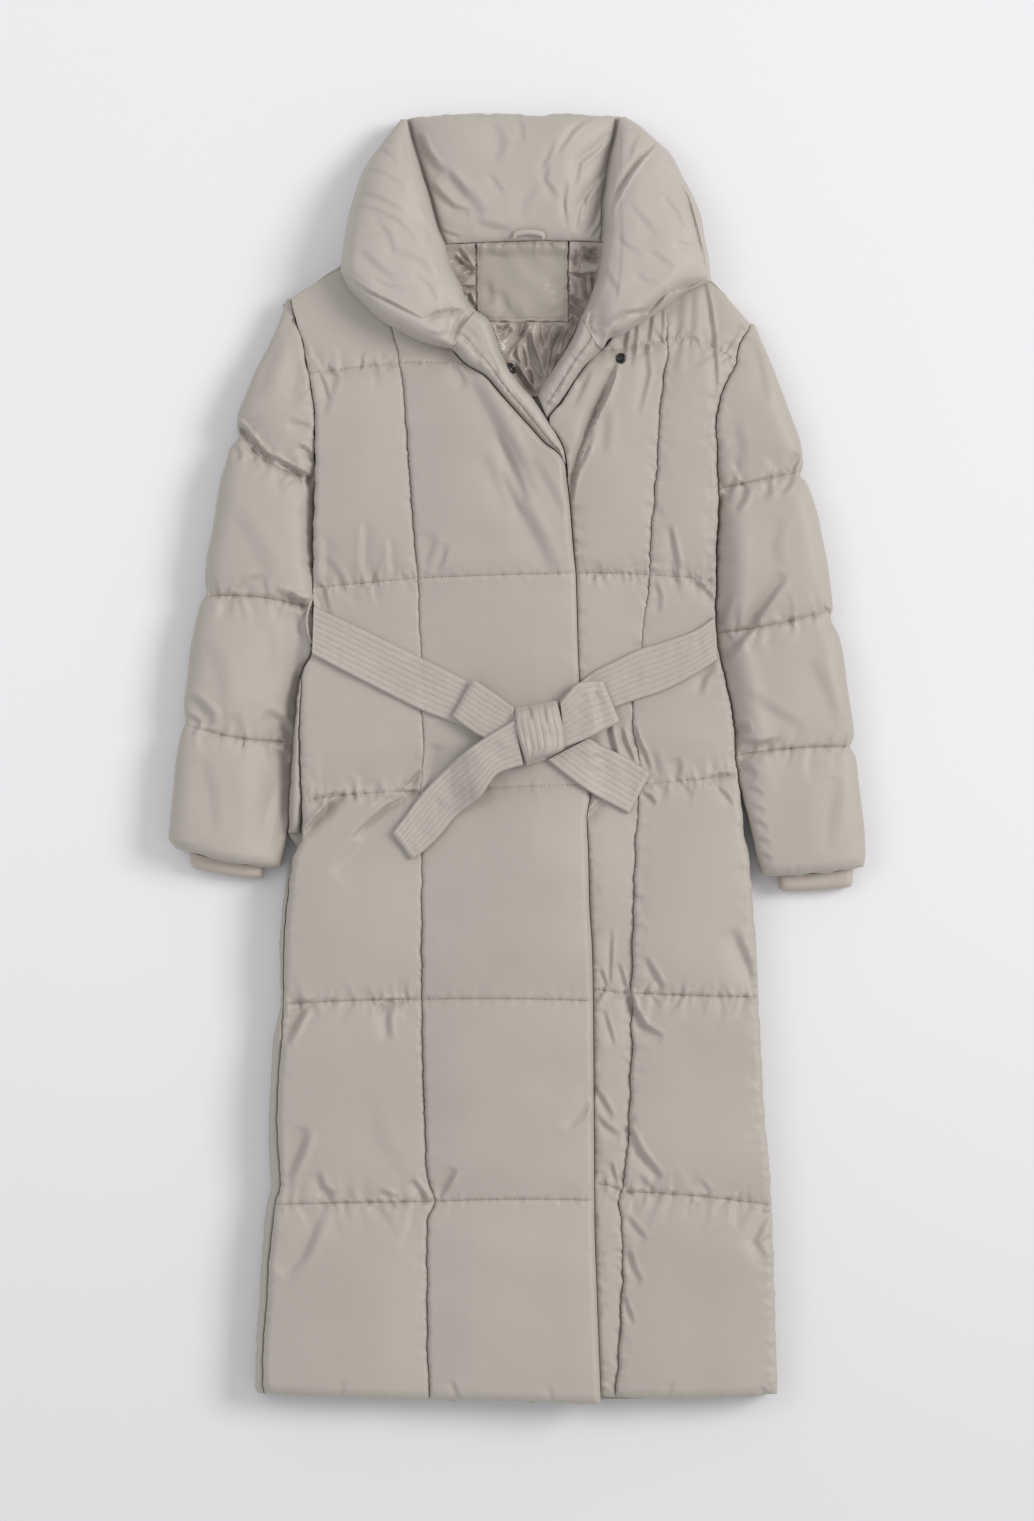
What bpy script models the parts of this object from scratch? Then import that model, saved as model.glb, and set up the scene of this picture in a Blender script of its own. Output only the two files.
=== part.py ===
"""A long wrap puffer coat, laid face up with its sleeves straight and its belt tied in a flat knot.

Tables are in millimetres: +X towards the wearer's left, +Y from the hem to the collar, +Z up from
the surface. "Right" and "left" in names are the wearer's. Every padded panel is a slab between its
seams: a plain underside, a low wall along each seam, and a top raised by the filling between the
seams and the quilting rows. Panels lie on each other as they do on the laid coat: the back on the
surface, the fronts on the back, the collar over the shoulders and the belt over the waist.
"""

import math

import bmesh
import bpy
import numpy as np

MM = 0.001
GAP = 0.3  # between pieces that meet at a seam

# Heights above the surface
BACK_TOP = 26.0
FRONT_FLOOR = BACK_TOP + GAP
FRONT_SEAM = 36.0  # bottom of the valley at a seam or a quilting row
FRONT_PUFF = 21.0  # rise of the filling above its seams
LAP_TILT = 0.05  # the right front climbs over the left front's hidden edge
LAP_TILT_FROM = -140.0
LAP_RISE = 10.0  # how much higher the right front's free edge stands than its seams
LEAST_WALL = 3.0
LAP_TOP = 288.0  # the y where the fronts cross
UNDERLAP_EDGE = -45.0  # the left front's hidden free edge
UNDERLAP_STEP = 1.6  # from the right front's edge to where the left front rises beside it
SLEEVE_FLOOR = 22.0
SLEEVE_SEAM = 33.0
SLEEVE_PUFF = 25.0
COLLAR_SLOPE = 0.106  # the collar's fronts climb from the nape to the chest
COLLAR_FLOOR = 46.3  # under the collar's fronts, at COLLAR_LEVEL
COLLAR_LEVEL = 430.0
COLLAR_CLEAR = 0.8  # between the collar's fronts and what they lie on
WING_WALL = 12.0
WING_PUFF = 30.0
CUFF_FLOOR, CUFF_TOP = 3.0, 27.0
COLLAR_BACK_PUFF = 24.0
FACING_START, FACING_END = (25.0, 11.0), (14.0, 9.0)  # wall and puff, at the collar and at the V
LINING_THICK = 3.0
LINING_FOLDS = 8
LINING_FOLD_RISE = 3.5
PATCH_THICK = 3.0
LOOP_SLOPE = 0.6
LOOP_THICK = 2.2

# Waist
BELT_CLEAR = 0.7
BRIDGE = 9.0  # the belt spans hollows narrower than about twice this
BRIDGE_BY_LAYER = 6.0
BELT_THICK = 5.5
BELT_RIBS = 8
RIB_RISE = 1.3
BELT_LAYER = BELT_THICK + 2.6
KNOT_THICK = 27.0
KNOT_WALL = 6.0
KNOT_RIBS = 7
TAIL_FALL = (48.0, 92.0)  # where the upper tail comes down onto the coat, from the knot
CARRIER_FLOOR, CARRIER_TOP = 29.5, 35.5
WELT_WALL = 3.0
WELT_PROFILE = ((0, 4.0), (0.3, 12.0), (0.7, 13.0), (1, 6.0))  # share across, rise
SNAP_RADIUS = 6.5
SNAP_THICK = 3.0
SNAP_BALL = (107.0, 415.0)
SNAP_SOCKET, SOCKET_AXIS = (-7.0, 404.8, 45.0), (0.85, 0.53)

# The back comes round to the front beside the right side seam, below the pocket
STRIP_FROM, STRIP_FULL = -88.0, -112.0
STRIP_PROFILE = ((0, -2.0), (0.25, 6.0), (0.5, 9.0), (0.8, 5.0), (1, 0.0))  # share across, rise
HEM_LEFT, HEM_RIGHT, HEM_LOW, HEM_BOW = -255.0, 265.0, -669.0, 8.0

# Rows of points across a quilted block, as shares of its height: the chest's follow the neckline,
# where the fronts cross, and the waist's are even because the belt presses it
BLOCK_ROWS = 10
CHEST_ROWS = (0, 0.03, 0.1, 0.2, 0.32, 0.42, 0.49, 0.55, 0.62, 0.68, 0.74, 0.82, 0.9, 0.96, 1)
WAIST_ROWS = (0, 0.03, 0.1, 0.18, 0.26, 0.34, 0.42, 0.5, 0.58, 0.66, 0.74, 0.82, 0.9, 0.97, 1)
FRONT_ROWS = {3: WAIST_ROWS, 4: CHEST_ROWS}  # by block, counted up from the hem

SEAM_REACH = 46.0  # how far from a seam the filling reaches its full height
EDGE_REACH = 24.0  # the same at a free edge
ROW_REACH = 34.0  # the same at a quilting row inside a panel
ROW_KEPT = 0.5  # share of the filling's height that is left at such a row
ROW_BLEND = 20.0  # how far from a row one block's fill goes over into the next one's
TUCK = 9.0  # how far an edge that rests on the surface curls in under itself
HEM_TUCK = 2.0
BULGE = 10.0  # the height where such an edge stands out furthest

# The body's vertical lines. side_r and side_l are the outline, seam_r the right side seam (the
# pocket's line between y 82 and -86), the princess seams part side and centre fronts.
BODY_COLUMNS = ("y", "side_r", "seam_r", "princess_r", "princess_l", "side_l")
BODY = (
    (522, -236, -236, -142, 150, 241),
    (478, -236, -236, -138, 153, 241),
    (452, -230, -230, -133, 155, 241),
    (430, -223, -223, -127, 156, 230),
    (410, -220, -220, -123, 154, 226),
    (385, -215, -215, -119.5, 150.5, 214),
    (350, -211, -211, -116.5, 147, 206),
    (300, -211, -211, -113, 144.5, 207),
    (260, -212, -212, -110, 141, 208.5),
    (220, -213, -213, -107, 137.5, 206),
    (187, -213, -213, -104, 137, 206),
    (150, -213, -213, -103, 132, 205),
    (108, -215, -215, -101, 127, 209),
    (95, -223, -222, -100.5, 125, 212),
    (83, -227, -224.5, -100, 122, 215),
    (60, -230, -226, -100, 120, 220),
    (30, -233, -227, -99, 119.5, 224.5),
    (0, -235, -226.5, -98, 127, 226),
    (-36, -237.5, -225, -102, 126, 231),
    (-80, -239, -224, -100.5, 123, 235.5),
    (-92, -231, -229, -100, 122.5, 238),
    (-110, -238, -235, -100, 121.5, 241),
    (-150, -245, -239.5, -100, 120.5, 244),
    (-200, -249, -243, -100, 119.3, 248),
    (-250, -247.5, -243.5, -100, 118.2, 250),
    (-300, -256, -246, -99.3, 118.7, 252.5),
    (-340, -258, -249, -98, 117, 254.5),
    (-380, -260, -250, -96.5, 115.8, 257),
    (-425, -259.5, -247.5, -95, 112, 261.5),
    (-443, -257, -246.5, -92, 109, 262.5),
    (-460, -261, -251, -86.5, 105.5, 263.5),
    (-485, -264.5, -254.5, -94.5, 107.5, 264.5),
    (-530, -268, -259, -94.5, 109.2, 266),
    (-570, -270, -261, -94, 107.5, 267.3),
    (-610, -273, -264.5, -94, 105.7, 268.2),
    (-645, -274, -265, -92.5, 102.8, 269.6),
    (-672, -274, -262, -91, 101, 269),
)

# The right front's free edge: hidden under the collar, then along the facing's outer edge, then
# the overlap's edge down to the hem. The left front's edge meets it where the fronts cross.
RIGHT_FRONT_EDGE = (  # y, x
    (522, -104), (470, -86), (427, -70.5), (410, -55.5), (396, -34), (380, -20.5), (358, -1),
    (345, 11), (325, 29.5), (317, 41), (304, 49), (290, 50.5), (270, 53), (215, 57.5),
    (190, 60), (120, 62), (80, 64), (20, 71), (-36, 75), (-63, 71.5), (-100, 73), (-150, 74),
    (-200, 77), (-252, 78), (-400, 79), (-480, 79.5), (-560, 82), (-640, 85), (-672, 86),
)
LEFT_FRONT_EDGE = (  # y, x
    (522, 118), (470, 108), (440, 99), (433, 95), (415, 76), (395, 60.5), (370, 45), (352, 31.5),
    (348, 31.5), (335, 40.5), (320, 47.5), (300, 50.5), (290, 51),
)

# Quilting rows of each panel: y at its left edge, middle and right edge as laid, and how full the
# block above that row is filled.
LEVELS_SIDE_R = (
    (-661, -665, -667, 0.95), (-464, -462, -461, 1.0), (-256, -252, -251, 1.0),
    (-45, -37, -35, 0.62), (177, 182, 187, 0.85), (400, 406, 411, 0.45), (478, 506, 521, 0),
)
LEVELS_CENTRE_R = (
    (-667, -668.5, -671, 1.0), (-461, -458, -459, 1.0), (-251, -250, -252, 1.0),
    (-35, -30, -27, 0.6), (187, 190, 192, 0.9), (411, 411, 411, 0.45), (521, 521, 521, 0),
)
LEVELS_CENTRE_L = (
    (-663, -664, -664, 0.72), (-443, -445, -451, 0.72), (-240, -243, -244, 0.72),
    (-27, -27, -27, 0.5), (192, 192, 190, 0.8), (424, 428, 435, 0.45), (517, 517, 517, 0),
)
LEVELS_SIDE_L = (
    (-664, -666, -661, 0.95), (-451, -455, -465, 1.0), (-244, -247, -248, 1.0),
    (-27, -23, -17, 0.62), (190, 188, 183, 0.85), (435, 432, 412, 0.45), (517, 497, 451.5, 0),
)
LEVELS_SLEEVE_R = (
    (-93, -108, -113, 0.9), (35, 21, 17, 0.95), (168, 167, 156, 1.0), (345, 306, 292, 0.85),
    (478, 478, 478, 0),
)
LEVELS_SLEEVE_L = (
    (-122, -120, -113, 0.9), (3, 10, 12, 0.95), (130, 139, 153, 1.0), (280, 289, 297, 0.85),
    (452, 452, 452, 0),
)

SLEEVE_COLUMNS = ("y", "outer", "inner")
SLEEVE_R = (
    (478, -239.5, -236.5), (460, -246, -232), (425, -262, -222.5), (400, -275, -218.5),
    (375, -285, -214.5), (357, -292, -212), (345, -293, -211.5), (334, -291, -211.3),
    (322, -300, -211.3), (305, -305, -211.3), (290, -310, -211.5), (260, -315, -212.4),
    (230, -320, -213.3), (205, -325, -213.4), (183, -326, -213.4), (172, -324, -214),
    (160, -331, -222), (145, -335, -223), (110, -342, -225), (95, -343.5, -227), (80, -345, -229),
    (55, -348, -231.5), (38, -346.5, -233), (25, -351, -234), (0, -356, -235.5),
    (-40, -360, -238.5), (-70, -363, -243), (-84, -364, -247), (-93, -357, -249),
    (-113, -350, -250),
)
SLEEVE_L = (
    (452, 244.5, 241.5), (442, 250, 240), (420, 260, 229), (395, 270, 218), (355, 285, 206.8),
    (325, 295, 206.8), (305, 297, 207.3), (295, 294, 207.6), (285, 301, 208), (270, 307, 208.8),
    (250, 313, 208.8), (225, 318, 207), (200, 323, 206.6), (175, 326, 206.6), (157, 328, 206),
    (147, 326, 205.6), (125, 335, 208), (100, 340, 211.5), (75, 343, 217.5), (50, 347, 222.5),
    (24, 350, 226), (12, 346, 226.8), (0, 352, 228), (-25, 355, 235), (-50, 358, 240.5),
    (-75, 361, 243.5), (-100, 362, 248), (-115, 360, 253), (-122, 356, 255),
)

# Collar outlines, from the top corner down
WING_R_INNER = ((-116.5, 665), (-112, 645), (-105, 622), (-100, 605), (-95, 590), (-84, 550),
                (-77, 533), (-70, 510), (-60, 490), (-53, 473), (-44, 464))
WING_R_OUTER = ((-120.5, 665), (-140, 640), (-160, 611), (-170, 582), (-176, 560), (-180, 535),
                (-182.5, 515), (-183, 505))
WING_R_END = ((-44, 464), (-54, 451), (-70, 426), (-84, 428.5), (-100, 433), (-120, 443),
              (-140, 454), (-160, 472), (-174, 487), (-183, 505))
WING_L_INNER = ((106, 667), (104.5, 655), (98, 625), (94, 600), (90.5, 575), (90.5, 555),
                (88, 530), (84, 502), (80, 490), (75, 475), (66, 456))
WING_L_OUTER = ((110, 667.5), (124, 659), (142, 643), (158, 628), (170, 605), (183, 580),
                (190, 560), (193, 540), (197, 520), (199.5, 496))
WING_L_END = ((66, 456), (75, 440), (86, 425), (94, 436), (106, 439.5), (118, 447), (134, 456.5),
              (150, 467), (172, 484), (199.5, 496))
FACING_R_INNER = ((-43.4, 461.5), (-32, 455), (-25, 440), (-18, 420), (-10, 405), (5, 383),
                  (13, 375), (20, 365), (30, 350), (40, 335), (46.8, 320), (49.3, 306))
FACING_R_OUTER = ((-66, 423), (-54.3, 410.8), (-33.3, 396.6), (-19.5, 380.6), (-0.2, 358.6),
                  (11.8, 345.6), (30, 325.9), (41.2, 318), (47, 309.5))
FACING_L_INNER = ((66.2, 451.5), (61, 443), (54.5, 430), (45, 415), (35, 400), (26, 386),
                  (21, 376.3))
FACING_L_OUTER = ((84, 422.8), (77, 416.2), (68, 407), (59.5, 395), (51, 381), (43.8, 370),
                  (30.3, 352.8))
NECK_SEAM = ((-236, 478), (-183, 515), (-110, 532), (-40, 536), (20, 538), (70, 537.3),
             (100, 534.8), (130, 529), (155, 520.5), (200, 500), (241, 452))
COLLAR_FOOT, COLLAR_HEAD = (-181, -76, 86, 194), (-119.5, -113, 104, 109)  # x: ends and wings
COLLAR_TOP = ((-119, 664), (-90, 667), (-40, 669.5), (0, 669), (20, 666.5), (45, 669.5),
              (72, 668), (80, 667), (108, 667.5))
LINING_R = ((376, 13), (383, 5.6), (405, -9.3), (420, -17.3), (440, -24.3), (455, -31.3),
            (464, -43), (472, -60), (490, -70), (510, -80), (535, -88))  # y, x
LINING_L = ((376, 20), (385, 25.4), (400, 34.3), (415, 44.3), (432, 54.3), (448, 62),
            (456, 66.5), (475, 82), (500, 92), (535, 97))  # y, x
COLLAR_HEIGHT = 668.0
PATCH_SIDES, PATCH_ENDS = (-43.0, 52.0), (455.0, 535.5)
POCKET_ENDS = (-78.0, 82.0)
SLEEVE_FREE = 172.0  # below this level a sleeve's inner edge lies clear of the body
ARMHOLE_GAP = 0.8
SHOULDER_FADE = 90.0  # how far below its head a sleeve reaches its full thickness
LOOP_OUTER = ((-6, 539.5), (-5.5, 545), (-2, 547.5), (12, 549), (25, 547), (28.5, 544), (28, 539))
LOOP_INNER = ((-2.5, 539.5), (-2, 541), (-0.5, 542), (12, 543.3), (23, 541.8), (24.5, 541),
              (24.5, 539))
CUFFS = (("right", 0.12, 0.82, 15.5, 12.5), ("left", 0.17, 0.9, 15.0, 18.5))  # shares, lengths
CARRIER_ENDS, CARRIER_BOW, CARRIER_HALF = (166.0, 120.0), 5.6, 0.8

# The belt: upper and lower edges of each stretch from the knot outwards, and the layer it lies on
# at the knot
BELT = (
    ("belt_run_right", ((-5, 53), (-60, 83), (-120, 113), (-180, 142), (-212, 157)),
     ((1.8, 5), (-36, 22), (-60, 34), (-100, 50), (-160, 80), (-213.5, 108)), 0, 13),
    ("belt_run_left", ((43.5, 60), (66, 79), (80, 90), (100, 100), (125, 112), (150, 120),
                       (185, 133), (204, 146)),
     ((48.1, 24), (72, 40), (101, 53), (120, 60), (150, 70), (180, 85), (207, 102)), 0, 11),
    ("belt_ear_right", ((-5, 52), (-25, 67), (-47, 81)),
     ((1.6, 8), (-36, 21), (-68, 43)), 1, 6),
    ("belt_ear_left", ((44.2, 58), (66, 78.5), (88, 80)),
     ((48.5, 12), (72, 21), (105, 38)), 1, 6),
    ("belt_tail_right", ((-3.5, 39), (-35, 20), (-60, 2), (-75, -12), (-100, -38), (-115, -58),
                         (-130, -78)),
     ((4.5, -7), (-20, -15), (-40, -40), (-65, -60), (-80, -78), (-97, -95), (-110, -105)), 2, 10),
    ("belt_tail_left", ((73.5, 20.5), (90, 11), (113, 0), (137, -16)),
     ((31, -2), (50, -17), (75, -35), (115, -57)), 0, 9),
)
KNOT_LEFT = ((8.5, -5.5), (1, 20), (-2.5, 38), (-2.5, 49))
KNOT_RIGHT = ((27.5, 1), (47.5, 12.5), (46.8, 26), (42.8, 45), (40, 57))
BELT_LINES = (((-213, 134), (-50, 58), (20, 30)), ((20, 30), (90, 65), (207, 124)),
              ((20, 30), (-50, -10), (-120, -90)), ((40, 15), (126, -36)))
BELT_PRESS, BELT_PRESS_NEAR, BELT_PRESS_FAR = 0.35, 26.0, 62.0

# The largest folds: from, to, width and depth; a negative depth is a ridge
FOLDS = (  # x0, y0, x1, y1, width, depth
    (-68, 403, 10, 261, 14, 7), (-16, 291, 32, 194, 10, 4), (100, 400, 60, 300, 9, 9),
    (118, 372, 92, 262, 12, -4), (-170, 262, -150, 190, 9, 4), (-85, 240, -100, 190, 8, 4),
    (155, 240, 200, 168, 9, 4), (-220, -84, -178, -40, 9, 6), (-170, -80, -108, -32, 16, 5),
    (-190, -120, -130, -60, 16, -4), (-222, -262, -243, -296, 9, 6), (-150, -262, -104, -256, 8, 4),
    (-222, -385, -243, -437, 12, 5), (-205, -468, -243, -535, 14, 5), (-110, -440, -95, -463, 8, 4),
    (-62, -425, -82, -455, 9, 4), (117, -252, 150, -292, 9, 6), (116, -395, 145, -436, 10, 5),
    (120, -540, 130, -600, 10, 4), (222, -180, 245, -245, 12, 5), (262, -475, 243, -510, 10, 4),
    (112, -505, 128, -548, 9, 4), (78, -343, 52, -385, 8, 3), (96, -345, 100, -395, 8, 4),
)
SLEEVE_FOLDS = (
    (-232, 322, -211, 300, 9, 6), (-240, 168, -222, 156, 8, 5), (-346, 62, -320, 34, 9, 5),
    (-262, 44, -236, 20, 9, 5), (-300, 250, -262, 180, 16, 4), (272, 190, 212, 104, 11, 8),
    (216, 172, 210, 138, 7, 4), (282, 316, 294, 294, 8, 4), (238, 60, 300, 22, 14, 4),
    (300, 100, 330, 30, 16, 4),
)

SHELL = "b2aaa0"
COLLAR_FACE = "bab2a9"
CUFF_KNIT = "aca197"
SATIN = "988b83"
SNAP_METAL = "17151a"


def colour(code):
    """Linear RGBA of an sRGB hex code."""
    parts = [int(code[i : i + 2], 16) / 255 for i in (0, 2, 4)]
    return [p / 12.92 if p <= 0.04045 else ((p + 0.055) / 1.055) ** 2.4 for p in parts] + [1.0]


def smooth(keys, values):
    """A curve through the values that never overshoots them, as a function of the key."""
    order = np.argsort(keys)
    k = np.asarray(keys, float)[order]
    v = np.asarray(values, float)[order]
    step = np.diff(k)
    slope = np.diff(v) / step
    turn = slope[:-1] * slope[1:]
    total = np.where(turn > 0, slope[:-1] + slope[1:], 1.0)
    inner = np.where(turn > 0, 2 * turn / total, 0.0)
    tangent = np.concatenate([slope[:1], inner, slope[-1:]])

    def at(key):
        key = np.clip(np.asarray(key, float), k[0], k[-1])
        i = np.clip(np.searchsorted(k, key) - 1, 0, len(step) - 1)
        t = (key - k[i]) / step[i]
        rise = v[i] * (1 + 2 * t) * (1 - t) ** 2 + v[i + 1] * t * t * (3 - 2 * t)
        return rise + step[i] * (tangent[i] * t * (1 - t) ** 2 + tangent[i + 1] * t * t * (t - 1))

    return at


def line_of(table, columns, name):
    """A named column of a table as a smooth function of y."""
    place = columns.index(name)
    return smooth([row[0] for row in table], [row[place] for row in table])


def path(points, fractions):
    """Points at the given fractions of the length of a smooth path."""
    p = np.asarray(points, float)
    run = np.concatenate([[0], np.cumsum(np.hypot(*np.diff(p, axis=0).T))])
    run /= run[-1]
    return np.stack([smooth(run, p[:, 0])(fractions), smooth(run, p[:, 1])(fractions)], -1)


def even(count):
    return np.linspace(0, 1, count + 1)


def close_at_ends(count):
    """Fractions from 0 to 1 that crowd towards both ends, where a puffed edge turns fastest."""
    return (1 - np.cos(np.pi * even(count))) / 2


def dome(distance, reach):
    """0 at a seam, rising steeply and levelling to 1 at the reach: a quarter ellipse."""
    return np.sqrt(1 - (1 - np.clip(distance / reach, 0, 1)) ** 2)


def ramp(value, low, high):
    t = np.clip((value - low) / (high - low), 0, 1)
    return t * t * (3 - 2 * t)


def stroke(x, y, x0, y0, x1, y1):
    """(distance from a segment, fraction along it) of each point."""
    dx, dy = x1 - x0, y1 - y0
    t = np.clip(((x - x0) * dx + (y - y0) * dy) / (dx * dx + dy * dy), 0, 1)
    return np.hypot(x - x0 - t * dx, y - y0 - t * dy), t


def folds(x, y, table):
    """How far the folds in a table lower the surface."""
    drop = np.zeros_like(x)
    for x0, y0, x1, y1, width, depth in table:
        distance, t = stroke(x, y, x0, y0, x1, y1)
        fade = np.sqrt(np.clip(4 * (t + 0.06) * (1.06 - t), 0, 1))
        drop += depth * fade * np.exp(-((distance / width) ** 2))
    return drop


def lap_plane(x):
    return FRONT_FLOOR + LAP_TILT * (x - LAP_TILT_FROM)


def collar_plane(y):
    return COLLAR_FLOOR - COLLAR_SLOPE * (y - COLLAR_LEVEL)


class Panel:
    """A padded panel between two edges that run up the garment, with quilting rows across it."""

    def __init__(self, left, right, levels, seam, puff, reach=(SEAM_REACH, SEAM_REACH)):
        self.left, self.right = left, right
        self.levels = levels
        self.seam = seam  # height of the seam's valley at the left and at the right edge
        self.puff = puff
        self.reach = reach

    def row(self, level, s):
        """y of a quilting row at fraction s across the panel: a parabola through three points."""
        a, b, c = level[:3]
        return a * (1 - s) * (1 - 2 * s) + 4 * b * s * (1 - s) + c * s * (2 * s - 1)

    def grid(self, columns, rows, uneven=None):
        """Points across each block, rows of each block by columns across the panel."""
        s = close_at_ends(columns)
        lines = []
        for block, (low, high) in enumerate(zip(self.levels[:-1], self.levels[1:])):
            steps = np.array((uneven or {}).get(block, close_at_ends(rows)))
            for t in steps if high is self.levels[-1] else steps[:-1]:
                lines.append(self.row(low, s) * (1 - t) + self.row(high, s) * t)
        y = np.array(lines)
        left, right = self.left(y) + GAP / 2, self.right(y) - GAP / 2
        return np.stack([left + (right - left) * s, y], -1)

    def height(self, x, y):
        """Top of the panel, without folds."""
        left, right = self.left(y), self.right(y)
        s = np.clip((x - left) / np.maximum(right - left, 1), 0, 1)
        rows = np.array([self.row(level, s) for level in self.levels])
        fills = [level[3] for level in self.levels]
        fill = fills[0] + sum((fills[k] - fills[k - 1]) * ramp(y - rows[k], -ROW_BLEND, ROW_BLEND)
                              for k in range(1, len(rows) - 1))
        crown = dome(y - rows[0], EDGE_REACH) * dome(rows[-1] - y, SEAM_REACH)
        for row in rows[1:-1]:
            crown = crown * (ROW_KEPT + (1 - ROW_KEPT) * dome(np.abs(y - row), ROW_REACH))
        crown = crown * dome(x - left, self.reach[0]) * dome(right - x, self.reach[1])
        return self.seam[0] + (self.seam[1] - self.seam[0]) * s + self.puff * fill * crown


SIDE_R = line_of(BODY, BODY_COLUMNS, "side_r")
SEAM_R = line_of(BODY, BODY_COLUMNS, "seam_r")
PRINCESS_R = line_of(BODY, BODY_COLUMNS, "princess_r")
PRINCESS_L = line_of(BODY, BODY_COLUMNS, "princess_l")
SIDE_L = line_of(BODY, BODY_COLUMNS, "side_l")
RIGHT_EDGE = smooth(*zip(*RIGHT_FRONT_EDGE))
LEFT_EDGE = smooth(*zip(*LEFT_FRONT_EDGE))
SHOULDER = smooth(*zip(*NECK_SEAM))
WING_R_EDGE = smooth(*zip(*[(y, x) for x, y in WING_R_INNER]))
WING_L_EDGE = smooth(*zip(*[(y, x) for x, y in WING_L_INNER]))


def left_front_edge(y):
    """Where the left front comes into view: at the lap's edge, and above it at its own facing."""
    return np.where(y < 290, RIGHT_EDGE(y), LEFT_EDGE(y))


FRONTS = {
    "front_side_right": Panel(SEAM_R, PRINCESS_R, LEVELS_SIDE_R, (FRONT_SEAM, FRONT_SEAM),
                              FRONT_PUFF, (EDGE_REACH, SEAM_REACH)),
    "front_centre_right": Panel(PRINCESS_R, RIGHT_EDGE, LEVELS_CENTRE_R,
                                (FRONT_SEAM, FRONT_SEAM + LAP_RISE), FRONT_PUFF,
                                (SEAM_REACH, EDGE_REACH)),
    "front_centre_left": Panel(left_front_edge, PRINCESS_L, LEVELS_CENTRE_L,
                               (FRONT_SEAM, FRONT_SEAM), FRONT_PUFF, (SEAM_REACH, SEAM_REACH)),
    "front_side_left": Panel(PRINCESS_L, SIDE_L, LEVELS_SIDE_L, (FRONT_SEAM, FRONT_SEAM),
                             FRONT_PUFF, (SEAM_REACH, EDGE_REACH)),
}


def belt_press(x, y):
    """Share of its filling that a panel keeps near the belt."""
    near = np.full(np.shape(x), np.inf)
    for line in BELT_LINES:
        for (x0, y0), (x1, y1) in zip(line[:-1], line[1:]):
            near = np.minimum(near, stroke(x, y, x0, y0, x1, y1)[0])
    return BELT_PRESS + (1 - BELT_PRESS) * ramp(near, BELT_PRESS_NEAR, BELT_PRESS_FAR)


def panel_top(panel, x, y):
    """Top of a front panel: filled, folded, pressed by the belt and kept under the collar."""
    rise = panel.height(x, y) - FRONT_SEAM
    keep = np.clip(rise / 8, 0, 1)
    z = FRONT_SEAM + (rise - keep * folds(x, y, FOLDS)) * belt_press(x, y)
    if panel.seam[1] > FRONT_SEAM:
        z = np.maximum(z, lap_plane(x) + LEAST_WALL)
    return np.minimum(z, collar_plane(y) - COLLAR_CLEAR)


def front_top(x, y):
    """Top of whichever front shows at each point."""
    names = ("front_side_right", "front_centre_right", "front_centre_left", "front_side_left")
    edges = (PRINCESS_R(y), RIGHT_EDGE(y), PRINCESS_L(y))
    which = sum((x > edge).astype(int) for edge in edges)
    tops = [panel_top(FRONTS[name], x, y) for name in names]
    return np.choose(which, tops)


def widest_top(x, y, reach=BRIDGE):
    """The highest that the fronts reach near each point: what a strap that bridges them lies on."""
    around = [(reach * math.cos(a), reach * math.sin(a)) for a in np.linspace(0, 2 * math.pi, 9)]
    return np.max([front_top(x + dx, y + dy) for dx, dy in [(0, 0)] + around], axis=0)


def finish(name, bm, code, roughness=0.75, metallic=0.0):
    """Turns a closed mesh in millimetres into a named object with its own material."""
    if bm.calc_volume(signed=True) < 0:
        bmesh.ops.reverse_faces(bm, faces=bm.faces)
    bmesh.ops.scale(bm, vec=(MM, MM, MM), verts=bm.verts)
    mesh = bpy.data.meshes.new(name)
    bm.to_mesh(mesh)
    bm.free()
    mesh.shade_smooth()
    mesh.set_sharp_from_angle(angle=math.radians(50))
    piece = bpy.data.objects.new(name, mesh)
    bpy.context.scene.collection.objects.link(piece)
    material = bpy.data.materials.new(name)
    material.use_nodes = True
    shader = material.node_tree.nodes["Principled BSDF"]
    shader.inputs["Base Color"].default_value = colour(code)
    shader.inputs["Roughness"].default_value = roughness
    shader.inputs["Metallic"].default_value = metallic
    mesh.materials.append(material)
    return piece


def rim_of(rows, columns):
    """Indices of a grid's rim, once round."""
    rim = [(0, j) for j in range(columns)] + [(i, columns - 1) for i in range(1, rows)]
    rim += [(rows - 1, j) for j in range(columns - 2, -1, -1)]
    return rim + [(i, 0) for i in range(rows - 2, 0, -1)]


def inset(outline, amounts):
    """A closed outline's points, each moved inwards by its own amount."""
    along = np.roll(outline, -1, axis=0) - np.roll(outline, 1, axis=0)
    after = np.roll(outline, -1, axis=0)
    area = np.sum(outline[:, 0] * after[:, 1] - after[:, 0] * outline[:, 1])
    inward = np.stack([-along[:, 1], along[:, 0]], -1) * np.sign(area)
    inward /= np.maximum(np.hypot(*inward.T), 1e-6)[:, None]
    return outline + inward * np.asarray(amounts)[:, None]


def tucked(points, tuck, rows, columns):
    """The rim's points moved inwards by the tuck of their side: first row, right, last row, left."""
    rim = rim_of(rows, columns)
    amounts = []
    for i, j in rim:
        sides = [tuck[k] for k, on in enumerate((i == 0, j == columns - 1, i == rows - 1, j == 0))
                 if on]
        amounts.append(sum(sides) / len(sides))
    return inset(np.array([points[i, j] for i, j in rim]), amounts)


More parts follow.
